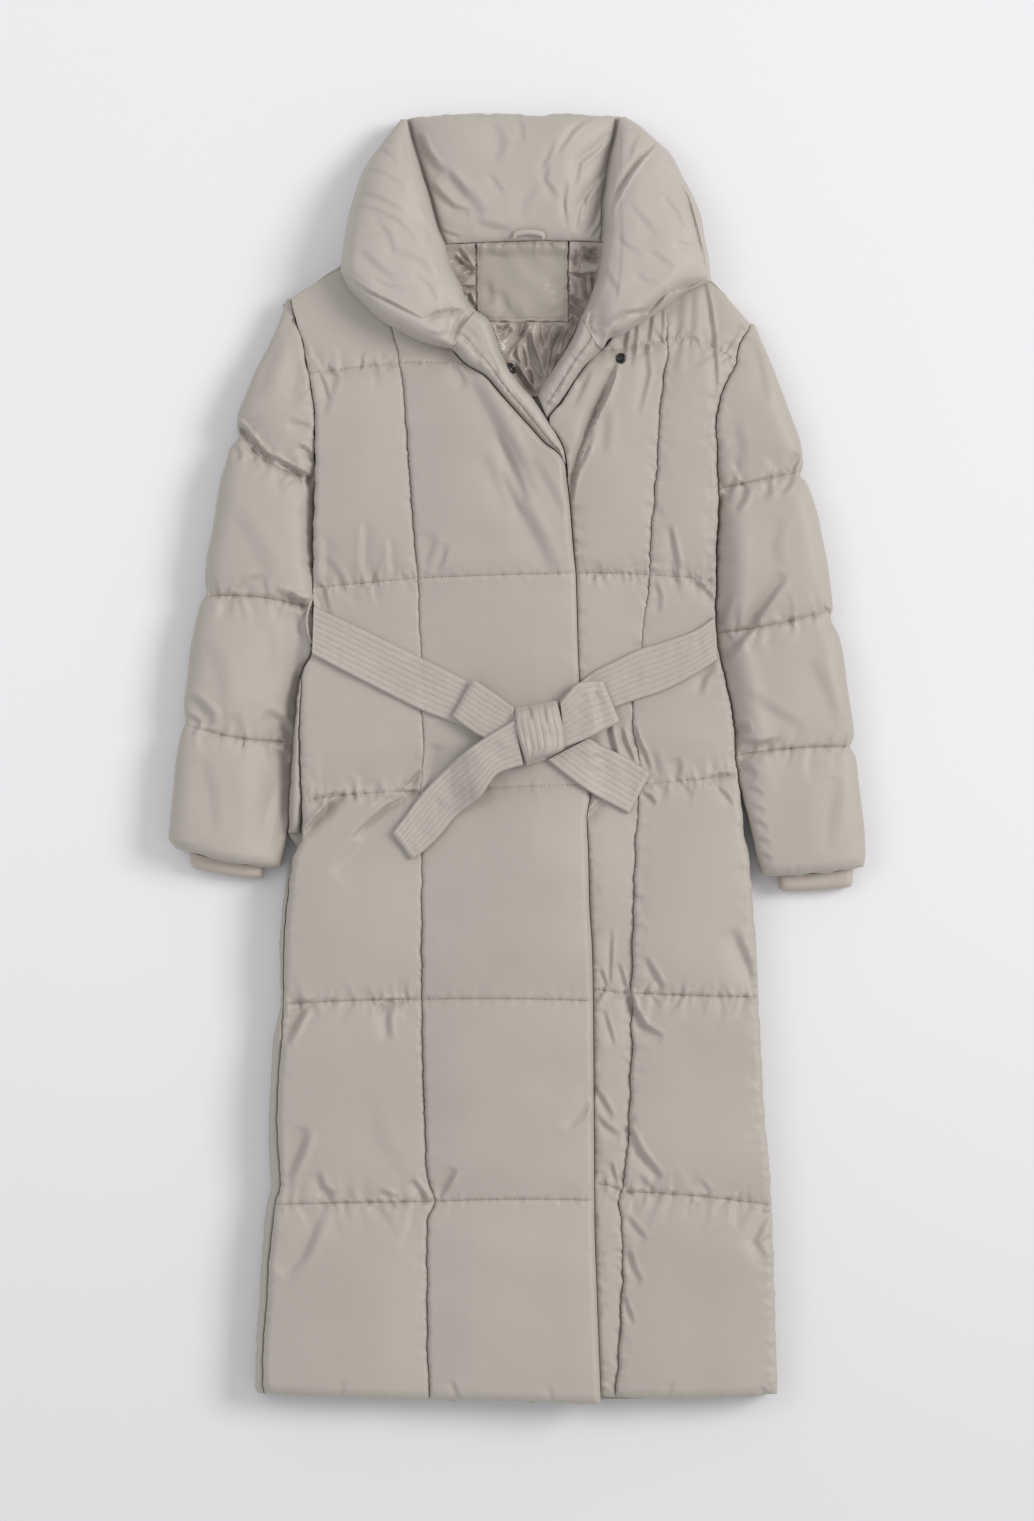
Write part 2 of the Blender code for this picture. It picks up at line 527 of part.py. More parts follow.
def wall(bm, rim, under, bulge=None):
    """Faces from a rim down to the underside's points, by way of a widest ring if one is given."""
    rings = [rim, under]
    if bulge is not None:
        rings.insert(1, [bm.verts.new((*vert.co[:2], bulge)) for vert in rim])
    for upper, lower in zip(rings[:-1], rings[1:]):
        for k in range(len(rim)):
            after = (k + 1) % len(rim)
            bm.faces.new((lower[k], lower[after], upper[after], upper[k]))
    bm.faces.new(under[::-1])


def slab(name, points, top, floor, code=SHELL, tuck=(0, 0, 0, 0), roughness=0.75, bulge=None):
    """A padded piece on a flat or evenly sloping underside: floor(x, y) is a plane."""
    rows, columns = top.shape
    under = tucked(points, tuck, rows, columns)
    bm = bmesh.new()
    upper = [[bm.verts.new((*points[i, j], top[i, j])) for j in range(columns)]
             for i in range(rows)]
    lower = [bm.verts.new((x, y, floor(x, y))) for x, y in under]
    for i in range(rows - 1):
        for j in range(columns - 1):
            bm.faces.new((upper[i][j], upper[i][j + 1], upper[i + 1][j + 1], upper[i + 1][j]))
    wall(bm, [upper[i][j] for i, j in rim_of(rows, columns)], lower, bulge)
    return finish(name, bm, code, roughness)


def strap(name, points, top, bottom, code=SHELL, skip=4):
    """A flat strip that follows what it lies on: its underside has every skip-th column."""
    rows, columns = top.shape
    kept = list(range(0, columns, skip))
    bm = bmesh.new()
    upper = [[bm.verts.new((*points[i, j], top[i, j])) for j in range(columns)]
             for i in range(rows)]
    lower = [[bm.verts.new((*points[i, j], bottom[i, j])) for j in kept] for i in range(rows)]
    for i in range(rows - 1):
        for j in range(columns - 1):
            bm.faces.new((upper[i][j], upper[i][j + 1], upper[i + 1][j + 1], upper[i + 1][j]))
        for j in range(len(kept) - 1):
            bm.faces.new((lower[i][j + 1], lower[i][j], lower[i + 1][j], lower[i + 1][j + 1]))
        bm.faces.new((lower[i][0], upper[i][0], upper[i + 1][0], lower[i + 1][0]))
        bm.faces.new((upper[i][-1], lower[i][-1], lower[i + 1][-1], upper[i + 1][-1]))
    bm.faces.new(lower[0] + upper[0][::-1])
    bm.faces.new(upper[-1] + lower[-1][::-1])
    return finish(name, bm, code)


def between(first, second, rows, columns, spread=even):
    """A grid between two paths."""
    a = path(first, even(rows))
    b = path(second, even(rows))
    s = spread(columns)[None, :, None]
    return a[:, None] * (1 - s) + b[:, None] * s


def patch(inner, outer, start, end, rows, columns):
    """A grid that fills the four sides of a patch: inner and outer run from start to end."""
    t, s = close_at_ends(rows), close_at_ends(columns)
    a, b = path(inner, t)[:, None], path(outer, t)[:, None]
    c, d = path(start, s)[None], path(end, s)[None]
    t, s = t[:, None, None], s[None, :, None]
    corners = (a[:1] * (1 - s) + b[:1] * s) * (1 - t) + (a[-1:] * (1 - s) + b[-1:] * s) * t
    return a * (1 - s) + b * s + c * (1 - t) + d * t - corners


def rim_distance(points):
    """(from the first column, from the last, from the first row, from the last) in millimetres."""
    across = np.hypot(*np.moveaxis(np.diff(points, axis=1), -1, 0))
    along = np.hypot(*np.moveaxis(np.diff(points, axis=0), -1, 0))
    left = np.concatenate([np.zeros((len(points), 1)), np.cumsum(across, axis=1)], axis=1)
    start = np.concatenate([np.zeros((1, points.shape[1])), np.cumsum(along, axis=0)], axis=0)
    return left, left[:, -1:] - left, start, start[-1:] - start


# Body


def make_back():
    """The back: one padded wall on the surface, which comes round to the front at its right side."""
    y = FRONTS["front_side_right"].grid(8, BLOCK_ROWS, FRONT_ROWS)[:, 0, 1]
    shown = ramp(-y, -STRIP_FROM, -STRIP_FULL)
    strip = np.maximum((SEAM_R(y) - SIDE_R(y)) * shown - 2 * GAP, 2.4)
    places, rises = np.array(STRIP_PROFILE).T
    points = np.zeros((len(y), 5, 2))
    points[..., 0] = SIDE_R(y)[:, None] + strip[:, None] * places
    points[:, 3, 0] = points[:, 4, 0] - GAP
    points[..., 1] = y[:, None]
    top = BACK_TOP + rises * shown[:, None]
    across = 2 * close_at_ends(10)[1:-1] - 1
    middle, half = (HEM_RIGHT + HEM_LEFT) / 2, (HEM_RIGHT - HEM_LEFT) / 2
    hem = [(middle + half * u, HEM_LOW + HEM_BOW * u * u) for u in across]
    (right_point, _), (left_point, top_y) = NECK_SEAM[0], NECK_SEAM[-1]
    side = [(float(SIDE_L(v)), v) for v in [*y[y < top_y], top_y]]
    neck = left_point - (left_point - right_point) * even(24)[1:-1]
    rest = hem + side + [(u, float(SHOULDER(u))) for u in neck]

    bm = bmesh.new()
    grid = [[bm.verts.new((*points[i, j], top[i, j])) for j in range(5)] for i in range(len(y))]
    round_it = [bm.verts.new((u, v, BACK_TOP)) for u, v in rest]
    for i in range(len(y) - 1):
        for j in range(4):
            bm.faces.new((grid[i][j], grid[i][j + 1], grid[i + 1][j + 1], grid[i + 1][j]))
    bm.faces.new(round_it + [row[4] for row in grid[::-1]])
    rim = grid[0] + round_it + grid[-1][::-1] + [row[0] for row in grid[-2:0:-1]]
    flat = np.array([vert.co[:2] for vert in rim])
    amounts = np.full(len(rim), TUCK)
    amounts[: 5 + len(hem)] = HEM_TUCK
    amounts[5 + len(hem) + len(side) :][: len(neck) + 5] = 0
    under = [bm.verts.new((u, v, 0)) for u, v in inset(flat, amounts)]
    wall(bm, rim, under, BULGE)
    return finish("back_panel", bm, SHELL)


def make_fronts():
    for name, columns in (("front_side_right", 8), ("front_side_left", 8)):
        panel = FRONTS[name]
        points = panel.grid(columns, BLOCK_ROWS, FRONT_ROWS)
        top = panel_top(panel, points[..., 0], points[..., 1])
        slab(name, points, top, lambda x, y: FRONT_FLOOR)
    panel = FRONTS["front_centre_right"]
    points = panel.grid(10, BLOCK_ROWS, FRONT_ROWS)
    top = panel_top(panel, points[..., 0], points[..., 1])
    slab("front_centre_right", points, top, lambda x, y: lap_plane(x))
    make_left_front()


def make_left_front():
    """The left front: the strip and chest that show, and a thin edge hidden under the right."""
    panel = FRONTS["front_centre_left"]
    shown = panel.grid(7, BLOCK_ROWS, FRONT_ROWS)
    y = shown[:, 0, 1]
    edge = shown[:, 0, 0].copy()
    shown[:, 0, 0] += UNDERLAP_STEP
    reach = UNDERLAP_EDGE + (edge - 1 - UNDERLAP_EDGE) * ramp(y, 190, 255)
    hidden = np.where(y > LAP_TOP, edge, np.minimum(reach, edge - 1))
    top = panel_top(panel, shown[..., 0], shown[..., 1])
    below_lap = lap_plane(edge) - GAP
    top[:, 0] = np.where(y > LAP_TOP + 20, top[:, 0], below_lap)
    under = np.where(y > LAP_TOP, np.minimum(below_lap, top[:, 0]), lap_plane(hidden) - GAP)
    points = np.concatenate([np.stack([hidden, y], -1)[:, None], shown], axis=1)
    top = np.concatenate([under[:, None], top], axis=1)
    slab("front_centre_left", points, top, lambda x, y: FRONT_FLOOR)


def make_pocket():
    """The right pocket's welt: a padded strip along the side, turned over the pocket's mouth."""
    y = POCKET_ENDS[0] + (POCKET_ENDS[1] - POCKET_ENDS[0]) * even(10)
    left, right = SIDE_R(y) + GAP / 2, SEAM_R(y) - GAP / 2 - 2.2 * ramp(-y, 45, 75)
    s, rises = np.array(WELT_PROFILE).T
    x = left[:, None] + (right - left)[:, None] * s
    end = np.minimum(y - POCKET_ENDS[0], POCKET_ENDS[1] - y) + 3
    top = FRONT_FLOOR + WELT_WALL + rises * dome(end, 16)[:, None]
    slab("pocket_welt_right", np.stack([x, np.repeat(y[:, None], len(s), 1)], -1), top,
         lambda x, y: FRONT_FLOOR)


def sleeve_inner(side, table):
    """A sleeve's inner edge: along the body down to the belt, and its own line below."""
    own = line_of(table, SLEEVE_COLUMNS, "inner")
    body, out = (SIDE_R, -1) if side == "right" else (SIDE_L, 1)
    return lambda y: np.where(y > SLEEVE_FREE, body(y) + out * ARMHOLE_GAP, own(y))


def make_sleeves():
    sleeves = {}
    for side, table, levels in (("right", SLEEVE_R, LEVELS_SLEEVE_R),
                                ("left", SLEEVE_L, LEVELS_SLEEVE_L)):
        edges = [line_of(table, SLEEVE_COLUMNS, "outer"), sleeve_inner(side, table)]
        reach = (EDGE_REACH, EDGE_REACH + 6)
        if side == "left":
            edges, reach = edges[::-1], reach[::-1]
        panel = Panel(*edges, levels, (SLEEVE_SEAM, SLEEVE_SEAM), SLEEVE_PUFF, reach)
        points = panel.grid(8, 9)
        x, y = points[..., 0], points[..., 1]
        shoulder = ramp(levels[-1][0] - y, 0, SHOULDER_FADE)
        rise = (panel.height(x, y) - SLEEVE_SEAM) * (0.55 + 0.45 * shoulder)
        keep = np.clip(rise / 8, 0, 1)
        top = SLEEVE_SEAM - 3 + 3 * shoulder + rise - keep * folds(x, y, SLEEVE_FOLDS)
        slab(f"sleeve_{side}_upper", points, top, lambda x, y: SLEEVE_FLOOR + GAP)
        under = Panel(*edges, (levels[0], levels[-1]), (SLEEVE_FLOOR, SLEEVE_FLOOR), 0)
        points = under.grid(1, 34)
        slab(f"sleeve_{side}_under", points, np.full(points.shape[:2], SLEEVE_FLOOR),
             lambda x, y: 0.0, tuck=(0, TUCK, 0, TUCK), bulge=BULGE)
        sleeves[side] = panel
    return sleeves


def make_cuffs(sleeves):
    """The inner cuffs, flat tubes that stand out of the sleeves' mouths."""
    for side, first, last, length, last_length in CUFFS:
        panel = sleeves[side]
        across = first + (last - first) * close_at_ends(10)
        y = panel.row(panel.levels[0], across)
        mouth = np.stack([panel.left(y) + (panel.right(y) - panel.left(y)) * across, y - 0.6], -1)
        share = (across - first) / (last - first)
        round_end = 4 * dome(np.minimum(share, 1 - share), 0.07) - 4
        fall = length + (last_length - length) * share + round_end
        down = np.array([0, 0.45, 0.85, 1.0])[:, None]
        x = np.repeat(mouth[None, :, 0], 4, axis=0)
        points = np.stack([x, mouth[None, :, 1] - down * fall[None]], -1)
        edge = 0.6 + 0.4 * dome(np.minimum(share, 1 - share), 0.1)
        top = CUFF_FLOOR + (CUFF_TOP - CUFF_FLOOR) * np.array([[1], [0.97], [0.85], [0.55]]) * edge
        slab(f"cuff_{side}", points, top, lambda x, y: CUFF_FLOOR, CUFF_KNIT, tuck=(0, 2, 3, 2))


# Collar, facings and lining


def collar_back_top(x, y):
    """Top of the collar's back: flat under the wings, filled between them."""
    low, high = y - SHOULDER(x), COLLAR_HEIGHT - y
    shown = dome(x - WING_R_EDGE(y) - 3, 60) * dome(WING_L_EDGE(y) - 3 - x, 60)
    fill = shown * (0.15 + 0.85 * dome(low, 90)) * (0.45 + 0.55 * dome(high, 30))
    return collar_plane(y) - COLLAR_CLEAR + COLLAR_BACK_PUFF * fill


def make_collar_back():
    """The collar's back: it rests on the surface, puffed where it shows between the wings."""
    share, hidden = close_at_ends(9), 3  # columns that show, and columns under each wing
    under = np.arange(hidden) / hidden
    places = np.concatenate([under, 1 + share, 3 - under[::-1]])
    foot_x, head_x = (np.interp(places, range(4), line) for line in (COLLAR_FOOT, COLLAR_HEAD))
    steep = np.abs(foot_x - sum(COLLAR_FOOT[1:3]) / 2) > 90
    foot = SHOULDER(foot_x) + GAP + steep
    head = smooth(*zip(*COLLAR_TOP))(head_x)
    y = foot + (head - foot) * close_at_ends(9)[:, None]
    edges = [smooth(*zip(*[(q, p) for p, q in line])) for line in (WING_R_OUTER, WING_L_OUTER)]
    right, left = WING_R_EDGE(y) + 3, WING_L_EDGE(y) - 3
    x = right + (left - right) * np.concatenate([[0] * hidden, share, [1] * hidden])
    for j in range(hidden):
        x[:, j] += (edges[0](y) - right)[:, j] * (1 - under[j])
        x[:, -1 - j] += (edges[1](y) - left)[:, -1 - j] * (1 - under[j])
    top = collar_back_top(x, y)
    top[-1, hidden + 1 : -hidden - 1] -= COLLAR_BACK_PUFF * 0.3
    slab("collar_back", np.stack([x, y], -1), top, lambda x, y: 0.0, COLLAR_FACE,
         tuck=(0, TUCK, TUCK, TUCK), bulge=BULGE)


def make_wings():
    """The collar's fronts, turned outwards over the shoulders."""
    for name, inner, outer, end in (
        ("collar_wing_right", WING_R_INNER, WING_R_OUTER, WING_R_END),
        ("collar_wing_left", WING_L_INNER, WING_L_OUTER, WING_L_END),
    ):
        points = patch(inner, outer, (inner[0], outer[0]), end, 14, 11)
        near_inner, near_outer, from_top, from_end = rim_distance(points)
        crown = dome(near_inner, 34) * dome(near_outer, 34)
        crown = crown * dome(from_end, 30) * (0.3 + 0.7 * dome(from_top, 120))
        rise = WING_WALL * (0.75 + 0.25 * dome(from_top, 60)) + WING_PUFF * crown
        slab(name, points, collar_plane(points[..., 1]) + rise, lambda x, y: collar_plane(y),
             COLLAR_FACE)


def make_facings():
    """The fronts' turned-back edges, from the collar to where the fronts cross."""
    for name, inner, outer, floor, rows in (
        ("front_facing_right", FACING_R_INNER, FACING_R_OUTER, lambda x, y: lap_plane(x), 18),
        ("front_facing_left", FACING_L_INNER, FACING_L_OUTER, lambda x, y: FRONT_FLOOR, 12),
    ):
        points = between(inner, outer, rows, 6, close_at_ends)
        near_inner, near_outer, start, end = rim_distance(points)
        crown = dome(near_inner, 11) * dome(near_outer, 11) * (0.4 + 0.6 * dome(end, 30))
        fall = ramp(start, 0, 110)
        low, puff = (a + (b - a) * fall for a, b in zip(FACING_START, FACING_END))
        slab(name, points, floor(points[..., 0], 0) + low + puff * crown, floor, COLLAR_FACE)


def make_lining():
    """The back's lining where it shows in the neck, gathered below the patch, and the patch."""
    edges = smooth(*zip(*LINING_R)), smooth(*zip(*LINING_L))
    y = np.concatenate([376.5 + 65 * even(6), 451 + 80.8 * even(4)])
    s = even(3 * LINING_FOLDS)
    left, right = edges[0](y)[:, None] + 0.2, edges[1](y)[:, None] - 0.2
    points = np.stack([left + (right - left) * s, np.repeat(y[:, None], len(s), 1)], -1)
    waves = np.abs(np.sin(np.pi * LINING_FOLDS * s))[None] ** 0.7
    below = ramp(PATCH_ENDS[0] - 4 - y, 0, 14)[:, None]
    x = points[..., 0]
    beside = np.maximum(ramp(PATCH_SIDES[0] - 7 - x, 0, 10), ramp(x - PATCH_SIDES[1] - 7, 0, 10))
    shown = np.maximum(below, beside)
    top = FRONT_FLOOR + LINING_THICK + LINING_FOLD_RISE * waves * shown
    slab("back_lining", points, top, lambda x, y: FRONT_FLOOR, SATIN, roughness=0.4)
    xs = PATCH_SIDES[0] + (PATCH_SIDES[1] - PATCH_SIDES[0]) * close_at_ends(8)
    ys = PATCH_ENDS[0] + (PATCH_ENDS[1] - PATCH_ENDS[0]) * close_at_ends(7)
    points = np.stack(np.meshgrid(xs, ys), -1)
    points[..., 0] = np.maximum(points[..., 0], edges[0](points[..., 1]) + 1)
    near = np.minimum(*rim_distance(points)[:2])
    near = np.minimum(near, np.minimum(*rim_distance(points)[2:]))
    floor = FRONT_FLOOR + LINING_THICK + GAP
    slab("neck_patch", points, floor + PATCH_THICK * (0.5 + 0.5 * dome(near, 6)),
         lambda x, y: floor)


def make_hanger_loop():
    """The loop at the nape: a folded strip whose two ends go into the neck seam."""
    points = between(LOOP_OUTER, LOOP_INNER, 16, 2)
    x, y = points[..., 0], points[..., 1]
    floor = float((collar_back_top(x, y) - LOOP_SLOPE * y).max()) + 0.5
    top = floor + LOOP_SLOPE * y + LOOP_THICK
    top[:, 1] += LOOP_THICK / 3
    slab("hanger_loop", points, top, lambda x, y: floor + LOOP_SLOPE * y, COLLAR_FACE)


# Belt


def make_belt():
    for name, upper, lower, layer, rows in BELT:
        points = between(lower, upper, rows, 2 * BELT_RIBS)
        x, y = points[..., 0], points[..., 1]
        along = rim_distance(points)[2]
        lift = layer * BELT_LAYER
        reach = BRIDGE + BRIDGE_BY_LAYER * layer
        if layer == 2:
            lift = lift * (1 - ramp(along, *TAIL_FALL))
        bottom = widest_top(x, y, reach) + BELT_CLEAR + lift
        column = np.arange(2 * BELT_RIBS + 1)
        bottom = np.array([np.interp(column, column[::4], row[::4]) for row in bottom])
        strap(name, points, bottom + BELT_THICK + RIB_RISE * (column % 2 - 0.6), bottom)


def make_knot():
    """The knot, wrapped round the belt: ribs run over it from top to bottom."""
    points = np.swapaxes(between(KNOT_LEFT, KNOT_RIGHT, 8, 2 * KNOT_RIBS), 0, 1)
    x, y = points[..., 0], points[..., 1]
    near = rim_distance(points)
    crown = dome(near[0], 20) * dome(near[1], 20)
    ends = 0.75 + 0.25 * dome(np.minimum(near[2], near[3]), 14)
    ridge = RIB_RISE * (np.arange(len(x)) % 2)[:, None]
    floor = float(widest_top(x, y).max()) + BELT_CLEAR
    rise = KNOT_WALL + (KNOT_THICK - KNOT_WALL) * (0.35 + 0.65 * crown) * ends + ridge
    slab("belt_knot", points, floor + rise, lambda x, y: floor)


def make_belt_carrier():
    """The thread loop at the right side seam that the belt runs through."""
    y = CARRIER_ENDS[0] + (CARRIER_ENDS[1] - CARRIER_ENDS[0]) * even(12)
    centre = SEAM_R(y) - GAP / 2 - CARRIER_HALF - CARRIER_BOW * np.sin(np.pi * even(12))
    points = np.stack([np.stack([centre + side, y], -1) for side in (-CARRIER_HALF, CARRIER_HALF)], 1)
    slab("belt_carrier_right", points, np.full(points.shape[:2], CARRIER_TOP),
         lambda x, y: CARRIER_FLOOR)


def make_snap(name, place):
    bm = bmesh.new()
    bmesh.ops.create_cone(bm, cap_ends=True, segments=20, radius1=SNAP_RADIUS,
                          radius2=SNAP_RADIUS * 0.86, depth=SNAP_THICK)
    snap = finish(name, bm, SNAP_METAL, 0.3, 0.6)
    snap.location = [v * MM for v in place]
    return snap


def make_snaps():
    """The press stud's two halves: the ball half on the left chest, the socket on the right edge."""
    turn = 2 * math.pi * even(16)
    x, y = (place + SNAP_RADIUS * side for place, side in zip(SNAP_BALL, (np.cos(turn), np.sin(turn))))
    chest = float(front_top(x, y).max())
    make_snap("snap_ball", (*SNAP_BALL, chest + SNAP_THICK / 2 + GAP / 3))
    socket = make_snap("snap_socket", SNAP_SOCKET)
    socket.rotation_euler = (math.pi / 2, 0, math.atan2(*SOCKET_AXIS[::-1]) + math.pi / 2)


for old in list(bpy.data.objects):
    bpy.data.objects.remove(old)
make_back()
make_fronts()
make_pocket()
make_cuffs(make_sleeves())
make_collar_back()
make_wings()
make_facings()
make_lining()
make_hanger_loop()
make_belt()
make_knot()
make_belt_carrier()
make_snaps()
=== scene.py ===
# %% [markdown]
# # A long puffer coat, laid flat
# The coat is cut in quilted panels of taffeta with loose filling between two walls. It lies face
# up: back on the floor, fronts on the back, collar over the shoulders, belt over the waist. Each
# panel is built here as a fine closed skin between its seams. The filling, the gathers at the
# stitching and the large creases are heights worked out for each point, which keeps every seam
# exactly where its neighbour has it. A cloth simulation was the other way, but it moves seams.

import math

import bpy
import numpy as np
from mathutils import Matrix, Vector


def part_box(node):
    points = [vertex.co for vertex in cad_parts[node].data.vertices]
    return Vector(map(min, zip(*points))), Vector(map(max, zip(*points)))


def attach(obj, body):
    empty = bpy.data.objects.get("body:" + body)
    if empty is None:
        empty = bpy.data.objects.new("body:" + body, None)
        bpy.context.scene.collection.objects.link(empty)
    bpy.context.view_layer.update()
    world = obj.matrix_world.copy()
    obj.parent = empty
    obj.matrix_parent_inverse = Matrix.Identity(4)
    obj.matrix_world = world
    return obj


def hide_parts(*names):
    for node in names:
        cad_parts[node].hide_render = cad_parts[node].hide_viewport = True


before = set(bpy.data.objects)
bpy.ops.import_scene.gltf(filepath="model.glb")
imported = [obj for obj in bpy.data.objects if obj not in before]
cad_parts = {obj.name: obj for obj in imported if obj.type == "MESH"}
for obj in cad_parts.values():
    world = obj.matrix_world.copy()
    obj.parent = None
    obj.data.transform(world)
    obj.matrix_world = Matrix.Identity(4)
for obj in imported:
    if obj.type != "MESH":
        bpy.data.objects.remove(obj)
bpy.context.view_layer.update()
print("frame nodes:", len(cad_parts))

# %% [markdown]
# ## Small helpers
# All sizes below are in millimetres: +X to the wearer's left, +Y from hem to collar, +Z up. A curve
# through a few named points must not overshoot them, or a seam would swing out where a point is
# close to its neighbour, so the curve's slope is the harmonic mean of the two sides.

# %% Curves and shapes
MM = 0.001
GAP = 0.3  # between pieces that meet at a seam


def smooth(keys, values):
    """A curve through the values that never overshoots them, as a function of the key."""
    order = np.argsort(keys)
    k = np.asarray(keys, float)[order]
    v = np.asarray(values, float)[order]
    step = np.diff(k)
    slope = np.diff(v) / step
    turn = slope[:-1] * slope[1:]
    total = np.where(turn > 0, slope[:-1] + slope[1:], 1.0)
    inner = np.where(turn > 0, 2 * turn / total, 0.0)
    tangent = np.concatenate([slope[:1], inner, slope[-1:]])

    def at(key):
        key = np.clip(np.asarray(key, float), k[0], k[-1])
        i = np.clip(np.searchsorted(k, key) - 1, 0, len(step) - 1)
        t = (key - k[i]) / step[i]
        rise = v[i] * (1 + 2 * t) * (1 - t) ** 2 + v[i + 1] * t * t * (3 - 2 * t)
        return rise + step[i] * (tangent[i] * t * (1 - t) ** 2 + tangent[i + 1] * t * t * (t - 1))

    return at


def curve(table):
    """A smooth function from rows of key and value."""
    return smooth(*zip(*table))


def leftright(points):
    """x as a smooth function of y, along points (x, y)."""
    return smooth(*zip(*[(y, x) for x, y in points]))


def line_of(table, columns, name):
    """A named column of a table as a smooth function of y."""
    place = columns.index(name)
    return smooth([row[0] for row in table], [row[place] for row in table])


def spans(points):
    """Length of each straight stretch of a polyline."""
    return np.linalg.norm(np.diff(np.asarray(points, float), axis=0), axis=1)


def path(points, fractions):
    """Points at the given fractions of the length of a smooth path."""
    p = np.asarray(points, float)
    run = np.concatenate([[0], np.cumsum(spans(p))])
    run /= run[-1]
    return np.stack([smooth(run, p[:, k])(fractions) for k in range(p.shape[1])], -1)


def even(count):
    return np.linspace(0, 1, count + 1)


def eased(count):
    """Fractions from 0 to 1 that crowd a little towards both ends, where cloth turns fastest."""
    return 0.55 * even(count) + 0.45 * (1 - np.cos(np.pi * even(count))) / 2


def dome(distance, reach):
    """0 at a seam, rising steeply and levelling to 1 at the reach: a quarter ellipse."""
    return np.sqrt(1 - (1 - np.clip(distance / reach, 0, 1)) ** 2)


def ramp(value, low, high):
    t = np.clip((value - low) / (high - low), 0, 1)
    return t * t * (3 - 2 * t)


def wander(values, wave, seed):
    """A smooth random curve between about -1 and 1 along one direction."""
    rng = np.random.default_rng(seed)
    waves = wave * rng.uniform(0.6, 1.7, 6)
    phases = rng.uniform(0, 2 * np.pi, 6)
    return sum(np.sin(2 * np.pi * values / w + p) for w, p in zip(waves, phases)) / 3


def swell(x, y, wave, seed):
    """Smooth random hills and hollows between about -1 and 1."""
    rng = np.random.default_rng(seed)
    total = np.zeros_like(x)
    for _ in range(9):
        angle, size = rng.uniform(0, np.pi), wave * rng.uniform(0.6, 1.8)
        along = x * np.cos(angle) + y * np.sin(angle)
        total = total + np.sin(2 * np.pi * along / size + rng.uniform(0, 2 * np.pi))
    return total / 4


print("a dome, a tenth of the way in:", round(float(dome(0.1, 1)), 2))

# %% [markdown]
# ## Creases
# A crease is a polyline with a width and a depth. Cloth folds over to one side, so a crease has a
# steep wall with a low lip on the left of its run and a slope that runs out gently on the right.
# Along it the crease fades at both ends. Gathers are short creases that start at a line of
# stitching, with uneven spacing, length, slant and depth from a seeded generator.

# %% Crease helpers
def beside(x, y, start, end):
    """Distance of each point from a straight stretch, the nearest share along it, and the side."""
    (x0, y0), (dx, dy) = start, (end[0] - start[0], end[1] - start[1])
    t = np.clip(((x - x0) * dx + (y - y0) * dy) / (dx * dx + dy * dy), 0, 1)
    return np.hypot(x - x0 - t * dx, y - y0 - t * dy), t, np.sign(dx * (y - y0) - dy * (x - x0))


def crease(x, y, points, width, depth, sharp_start=False, lean=1):
    """How far one crease lowers each point."""
    pts = np.asarray(points, float)
    reach = 4.6 * width
    low, high = pts.min(axis=0) - reach, pts.max(axis=0) + reach
    inside = (x > low[0]) & (x < high[0]) & (y > low[1]) & (y < high[1])
    drop = np.zeros_like(x)
    if not inside.any():
        return drop
    px, py = x[inside], y[inside]
    lengths = spans(pts)
    starts = np.concatenate([[0], np.cumsum(lengths)])
    best, share, side = np.full(px.shape, np.inf), np.zeros(px.shape), np.ones(px.shape)
    for k in range(len(lengths)):
        far, t, on_side = beside(px, py, pts[k], pts[k + 1])
        nearer = far < best
        best = np.where(nearer, far, best)
        share = np.where(nearer, (starts[k] + t * lengths[k]) / starts[-1], share)
        side = np.where(nearer, on_side, side)
    taper = (1 - share) ** 0.8 if sharp_start else np.clip(4.2 * share * (1 - share), 0, 1) ** 0.6
    wide = width * (0.7 + 0.5 * share) if sharp_start else width
    off = best / wide
    steep = np.exp(-((off / 0.75) ** 2)) - 0.32 * np.exp(-(((off - 1.5) / 0.6) ** 2))
    across = np.where(side * lean > 0, steep, np.exp(-((off / 1.6) ** 1.5)))
    drop[inside] = depth * taper * across
    return drop


def creases(x, y, table):
    """What a table of creases takes off: each row is width, depth, and x, y of each point."""
    return sum((crease(x, y, np.reshape(run, (-1, 2)), width, depth)
                for width, depth, *run in table), np.zeros_like(x))


def gathers(x, y, lines, seed):
    """Short creases that start on lines of stitching.

    Each line is (points, spacing, length, depth, side): side is +1 for the left of the line as it
    runs, -1 for its right and 0 for both.
    """
    rng = np.random.default_rng(seed)
    drop = np.zeros_like(x)
    for points, spacing, length, depth, side in lines:
        pts = np.asarray(points, float)
        total = spans(pts).sum()
        for way in ((side,) if side else (1, -1)):
            at = rng.uniform(0, spacing)
            while at < total:
                here, ahead = path(pts, np.array([at / total, min(1, (at + 2) / total)]))
                along = ahead - here if at + 2 < total else ahead - here + 1e-6
                along = along / max(np.linalg.norm(along), 1e-9)
                out = way * np.array([-along[1], along[0]])
                slant = rng.normal(0, 0.32)
                far = length * rng.lognormal(-0.1, 0.45)
                bend = rng.normal(0, 0.12) * far
                middle = here + out * far * 0.5 + along * (slant * far * 0.5 + bend)
                end = here + out * far + along * slant * far
                deep = depth * rng.uniform(0.45, 1.25) * (rng.random() < 0.85)
                if deep > 0:
                    drop += crease(x, y, (here, middle, end), rng.uniform(1.9, 3.6) * far ** 0.15,
                                   deep, sharp_start=True, lean=rng.choice((-1, 1)))
                at += spacing * rng.uniform(0.5, 1.6)
    return drop


# %% [markdown]
# ## Skins
# Every piece is a closed skin: a grid of points for the side that shows, rings that roll from its
# rim down to what it lies on, and a plain underside. A rolled edge needs four or five rings, each
# a little further out or in, like the turned edge of a filled seam.

